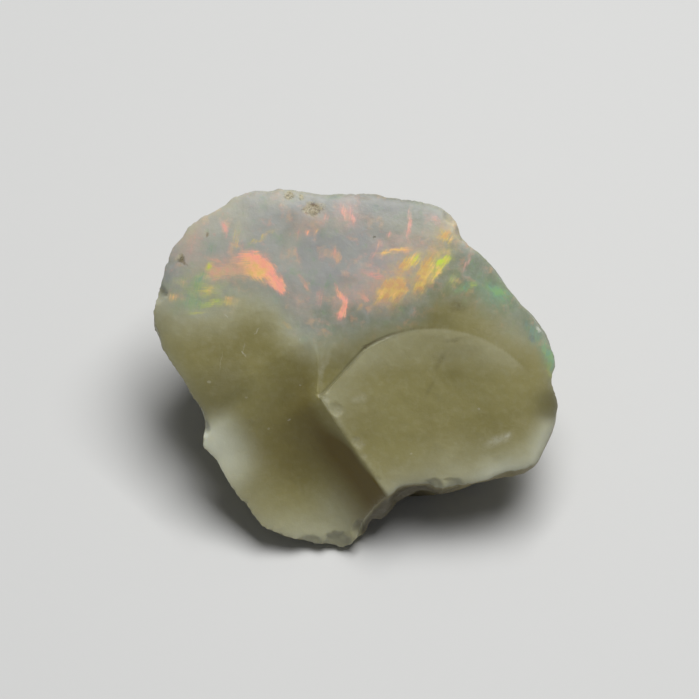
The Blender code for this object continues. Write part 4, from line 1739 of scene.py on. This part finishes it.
    def crack_dirt(self, at: Measures, streaky: Array) -> Array:
        """A thin broken line of dirt in the crack, over the plateau's high side.

        Args:
            at: Every measure of every point.
            streaky: Noise that breaks the line up.

        Returns:
            How dirty each point is.
        """
        line = np.clip(0.9 - ease(np.abs(at[Measure.BEYOND] - 0.03), 0.03, 0.17), 0.0, 1.0)
        fade = ease(at[Measure.RIGHT], 7.0, 3.0) * ease(at[Measure.RIGHT], -0.2, 1.4)
        return line * fade * (at[Measure.UP] > 0.0) * streaky

    def sides(self, below: Array, rim: Array) -> dict[WearAndPaintedLight, Array]:
        """The tones of the sides: painted light and frost under the edge, painted brown shade on the
        front and painted shade on its sheer breaks.

        Args:
            below: Distance below the edge.
            rim: The rim's rows.

        Returns:
            Each attribute over the sides' rings.
        """
        right, up, plumb = rim[:, 0], rim[:, 1], rim[:, 3]
        front = ease(-up, 3.0, 6.0) * ease(right, 0.0, 2.0)
        broken = ease(plumb, 0.5, 1.0) * (up < 0.0) * ease(right, 9.0, 6.0)
        nothing = np.zeros_like(below)
        return {
            # painted light through the thin stone under the edge
            WearAndPaintedLight.PALE_AND_LIT: 0.4 * (1.0 - front) * np.exp(-below / 0.8),
            # painted brown shade on the front side, which turns from the light
            WearAndPaintedLight.PAINTED_BROWN_SHADE: 0.55 * front * ease(below, 0.0, 0.4),
            WearAndPaintedLight.PAINTED_SHADE: nothing,
            WearAndPaintedLight.FROST: self.rim_frost * (1.0 - front) * np.exp(-below / self.frost_reach),
            WearAndPaintedLight.GRIT: nothing,
            # painted shade on the sheer breaks at the front
            WearAndPaintedLight.DIRT_AND_SHADE: 0.97 * broken * ease(below, 0.1, 0.9),
        }

    def tones(
        self, right: Array, up: Array, to_rim: Array, pits: tuple[Array, Array], below: Array,
        rim: Array,
    ) -> dict[WearAndPaintedLight, Array]:
        """Work out all attributes of the stone.

        Args:
            right: Places to the right, on the face.
            up: Places up the face.
            to_rim: Distance to the rim, on the face.
            pits: How gritty and how dark the pits make each place of the face.
            below: Distance below the edge, on the sides.
            rim: The rim's rows.

        Returns:
            Each attribute over all rings, the face's and then the sides'.
        """
        at = self.measures(right, up, to_rim)
        places = np.stack([right, up, np.zeros_like(right)], axis=-1)
        clouds = 0.5 + 0.5 * lumps(places, 0.5, 51, 2)
        streaky = 0.45 + 0.9 * np.maximum(lumps(places, 1.4, 52, 2), -0.3)
        pale_and_lit = self.lit_thin_rim(at) + sum(zone.cover(at, clouds) for zone in self.pale_and_lit_zones)
        painted_shade = sum(zone.cover(at, clouds) for zone in self.painted_shade_zones)
        front = {
            WearAndPaintedLight.PALE_AND_LIT: pale_and_lit * (0.75 + 0.5 * clouds),
            WearAndPaintedLight.PAINTED_BROWN_SHADE: self.depth(at),
            WearAndPaintedLight.PAINTED_SHADE: painted_shade * (0.8 + 0.4 * clouds),
            WearAndPaintedLight.FROST: self.frost(at, clouds),
            WearAndPaintedLight.GRIT: pits[0],
            WearAndPaintedLight.DIRT_AND_SHADE: self.crack_dirt(at, streaky) + pits[1],
        }
        sides = self.sides(below, rim)
        return {
            part: np.concatenate([np.clip(front[part], 0.0, 1.0), sides[part]]) for part in WearAndPaintedLight
        }


@dataclass(frozen=True)
class OpalLump:
    """The whole lump: a fan of spokes over the face, the sides' rows and the foot."""

    face: ShowFace
    outline: Outline
    sides: Sides
    weathering_and_light: WeatheringAndLight
    finish: OpalFinish
    spokes: int = 576
    rings: int = 104
    rim_round: float = 0.16  # how far the face's edge is rounded down
    rim_reach: float = 0.22
    ring_crowding: float = 1.25  # above 1, the rings crowd towards the rim
    least_turn: float = 0.0006  # radians from one spoke to the next
    pit_grit: float = 0.75
    pit_dirt: float = 0.8

    def rim(self) -> Array:
        """The outline with its small chips: noise bites inwards across it.

        Seen from the ridge's top the rim never turns back, and one of its points lies on the
        ridge's line, so that a spoke runs along the ridge.

        Returns:
            Rows of right, up, drop, plumb and nibble.
        """
        rows = self.outline.curve(self.spokes)
        run = np.roll(rows[:, :2], -1, axis=0) - np.roll(rows[:, :2], 1, axis=0)
        inward = np.stack([-run[:, 1], run[:, 0]], axis=1)
        inward /= np.linalg.norm(inward, axis=1, keepdims=True)
        places = np.column_stack([rows[:, :2], np.zeros(len(rows))])
        coarse = np.maximum(lumps(places, 0.9, 21, 2), -0.1)
        fine = np.abs(lumps(places, 2.6, 22, 2))
        rows[:, :2] += inward * (rows[:, 4] * (1.5 * coarse + 0.9 * fine + 0.15))[:, None]
        spoke = rows[:, :2] - self.face.ridge_top
        length = np.linalg.norm(spoke, axis=1)
        angle = np.unwrap(np.arctan2(spoke[:, 1], spoke[:, 0]))
        turned = np.arange(len(rows)) * self.least_turn
        angle = np.maximum.accumulate(angle - turned) + turned
        ridge = self.face.ridge()
        ridge_angle = math.atan2(ridge[1], ridge[0]) % (2.0 * math.pi)
        angle[np.argmin(np.abs(angle % (2.0 * math.pi) - ridge_angle))] = ridge_angle
        way = np.stack([np.cos(angle), np.sin(angle)], axis=1)
        rows[:, :2] = self.face.ridge_top + way * length[:, None]
        return rows

    def surface(self) -> tuple[Array, dict[WearAndPaintedLight, Array]]:
        """Every point of the lump, ring by ring, and what the finish reads at each.

        Returns:
            World points in millimetres by ring and spoke, and the attributes of those points.
        """
        rim = self.rim()
        x = np.arange(1, self.rings + 1) / self.rings
        share = (1.0 - (1.0 - x) ** self.ring_crowding)[:, None]
        pole = np.array(self.face.ridge_top)
        right = pole[0] + share * (rim[:, 0] - pole[0])
        up = pole[1] + share * (rim[:, 1] - pole[1])
        to_rim = self.to_rim(right, up, rim)
        out = self.face.height(right, up) - self.rim_round * np.exp(-to_rim / self.rim_reach)
        out, grit, dark = self.pitted(right, up, out)
        points = self.face.world(right, up, out)
        behind = self.face.world(0.0, 0.0, -1.0) - self.face.world(0.0, 0.0, 0.0)
        rows = self.sides.rows(points[-1], behind, rim[:, 2], rim[:, 3])
        below = np.linalg.norm(rows - points[-1], axis=-1)
        tones = self.weathering_and_light.tones(right, up, to_rim, (grit, dark), below, rim)
        return np.concatenate([points, rows]), tones

    def pitted(self, right: Array, up: Array, out: Array) -> tuple[Array, Array, Array]:
        """Sink the gritty pits into the face.

        Args:
            right: Places to the right.
            up: Places up the face.
            out: Heights before the pits.

        Returns:
            Heights after the pits, how gritty each place is, and how dark the arc of dirt under
            each pit makes it.
        """
        grit, dark = np.zeros_like(out), np.zeros_like(out)
        rough = lumps(np.stack([right, up, np.zeros_like(out)], axis=-1), 2.2, 40, 3)
        for pit in self.face.pits:
            apart = np.hypot(right - pit.right, up - pit.up) / pit.radius + 0.55 * rough
            out = out - pit.depth * ease(apart, 1.0, 0.3) * (1.0 + 0.5 * rough)
            grit = np.maximum(grit, self.pit_grit * ease(apart, 1.4, 0.6))
            low = ease((pit.up - up) / pit.radius, -0.3, 0.5)
            arc = np.exp(-(((apart - 0.75) / 0.2) ** 2)) * low * ease(rough, -0.5, 0.2)
            dark = np.maximum(dark, self.pit_dirt * arc)
        return out, grit, dark

    def to_rim(self, right: Array, up: Array, rim: Array) -> Array:
        """Distance from each point of the face to the nearest point of the rim."""
        return np.stack(
            [
                np.hypot(x[:, None] - rim[:, 0], y[:, None] - rim[:, 1]).min(axis=1)
                for x, y in zip(right, up)
            ]
        )

    def build(self) -> bpy.types.Object:
        """Make the lump's mesh and dress it.

        Returns:
            The finished object, at the origin and in metres.
        """
        points, tones = self.surface()
        rings, spokes = points.shape[:2]
        pole = self.face.world(*self.face.ridge_top, self.pole_height(points[0]))
        foot = points[-1].mean(axis=0)
        verts = np.vstack([pole, points.reshape(-1, 3), foot]) * MM
        mesh = bpy.data.meshes.new("opal_stone")
        mesh.from_pydata(verts, [], self.faces(rings, spokes))
        for part, values in tones.items():
            store = mesh.attributes.new(part.value, "FLOAT", "POINT")
            flat = np.concatenate([[0.0], values.reshape(-1), [0.0]])
            store.data.foreach_set("value", flat.astype(np.float32))
        mesh.shade_smooth()
        mesh.materials.append(self.finish.material())
        stone = bpy.data.objects.new("opal_stone", mesh)
        bpy.context.scene.collection.objects.link(stone)
        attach(stone, "root")
        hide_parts("opal")
        return stone

    def faces(self, rings: int, spokes: int) -> list[list[int]]:
        """Corners of every face: a fan round the pole, quads between rings, a fan under the foot.

        Args:
            rings: How many rings of points there are.
            spokes: How many points a ring has.

        Returns:
            Each face's corners, where the pole is point 0 and the foot's middle the last one.
        """
        grid = 1 + np.arange(rings * spokes).reshape(rings, spokes)
        after = np.roll(grid, -1, axis=1)
        quads = np.stack([grid[:-1], grid[1:], after[1:], after[:-1]], axis=-1).reshape(-1, 4)
        top = np.column_stack([np.zeros(spokes, int), grid[0], after[0]])
        foot = np.full(spokes, rings * spokes + 1)
        bottom = np.column_stack([grid[-1], foot, after[-1]])
        return [*top.tolist(), *quads.tolist(), *bottom.tolist()]

    def pole_height(self, ring: Array) -> float:
        """Height of the face at the spokes' common point: the mean of the first ring's."""
        lean, rise = math.cos(self.face.elevation), math.sin(self.face.elevation)
        return float((-ring[:, 1] * lean + (ring[:, 2] - self.face.seat) * rise).mean())


@dataclass(frozen=True)
class Studio:
    """The floor, the lights and the camera."""

    face: ShowFace
    floor_half: float = 0.8  # metres
    floor_colour: Colour = (0.62, 0.62, 0.61)
    view_distance: float = 0.42  # metres from the face's middle to the lens
    view_width: float = 0.0524  # metres that the view spans there
    view_middle: Point3 = (-0.49, 1.46, -2.2)  # right, up and out, millimetres
    sensor: float = 36.0
    key_power: float = 1.5  # watts
    key_from: Point3 = (0.15, 0.17, 0.97)
    key_distance: float = 0.36
    key_size: float = 0.20
    sky: Colour = (0.93, 0.96, 1.0)
    sky_strength: float = 0.12

    def floor(self) -> bpy.types.Object:
        """Lay a wide level floor, finely speckled.

        Returns:
            The floor.
        """
        half = self.floor_half
        corners = [(-half, -half, 0.0), (half, -half, 0.0), (half, half, 0.0), (-half, half, 0.0)]
        mesh = bpy.data.meshes.new("floor")
        mesh.from_pydata(corners, [], [(0, 1, 2, 3)])
        shader = Shader("floor_matt")
        place = shader.node("ShaderNodeTexCoord").outputs["Object"]
        speckle = shader.noise(place, 900.0, 3.0) * 0.04
        colour = shader.mix(speckle, self.floor_colour, (0.5, 0.5, 0.5))
        surface = shader.node(
            "ShaderNodeBsdfPrincipled", {"Base Color": colour, "Roughness": 0.85}
        )
        shader.node("ShaderNodeOutputMaterial", {"Surface": surface.outputs[0]})
        mesh.materials.append(shader.material)
        floor = bpy.data.objects.new("floor", mesh)
        bpy.context.scene.collection.objects.link(floor)
        return floor

    def lights(self) -> None:
        """A soft light overhead, a little behind the stone, under an even pale sky."""
        data = bpy.data.lights.new("key", "AREA")
        data.energy, data.size = self.key_power, self.key_size
        lamp = bpy.data.objects.new("key", data)
        towards = Vector(self.key_from).normalized()
        lamp.location = towards * self.key_distance + Vector((0.0, 0.0, 0.01))
        lamp.rotation_euler = towards.to_track_quat("Z", "Y").to_euler()
        bpy.context.scene.collection.objects.link(lamp)
        world = bpy.data.worlds.new("sky")
        world.use_nodes = True
        background = world.node_tree.nodes["Background"]
        background.inputs["Color"].default_value = (*self.sky, 1.0)
        background.inputs["Strength"].default_value = self.sky_strength
        bpy.context.scene.world = world

    def camera(self) -> None:
        """A long lens that looks straight at the leaning face."""
        middle = Vector(self.face.world(*self.view_middle)) * MM
        towards = Vector(self.face.world(0.0, 0.0, 1.0) - self.face.world(0.0, 0.0, 0.0))
        data = bpy.data.cameras.new("camera")
        data.sensor_width = self.sensor
        data.lens = self.sensor * self.view_distance / self.view_width
        data.clip_start = 0.01
        camera = bpy.data.objects.new("camera", data)
        camera.location = middle + towards * self.view_distance
        camera.rotation_euler = towards.to_track_quat("Z", "Y").to_euler()
        bpy.context.scene.collection.objects.link(camera)
        bpy.context.scene.camera = camera
        bpy.context.scene.view_settings.view_transform = "Standard"


def main() -> None:
    """Load the frame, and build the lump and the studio."""
    logging.basicConfig(level=logging.INFO, format="%(name)s: %(message)s")
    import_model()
    face = ShowFace()
    stone = OpalLump(face, Outline(), Sides(), WeatheringAndLight(face), OpalFinish(face)).build()
    LOG.info("%s: %d faces", stone.name, len(stone.data.polygons))
    studio = Studio(face)
    LOG.info("%s is laid", studio.floor().name)
    studio.lights()
    studio.camera()
    LOG.info("lights and camera stand")


if __name__ == "__main__":
    main()
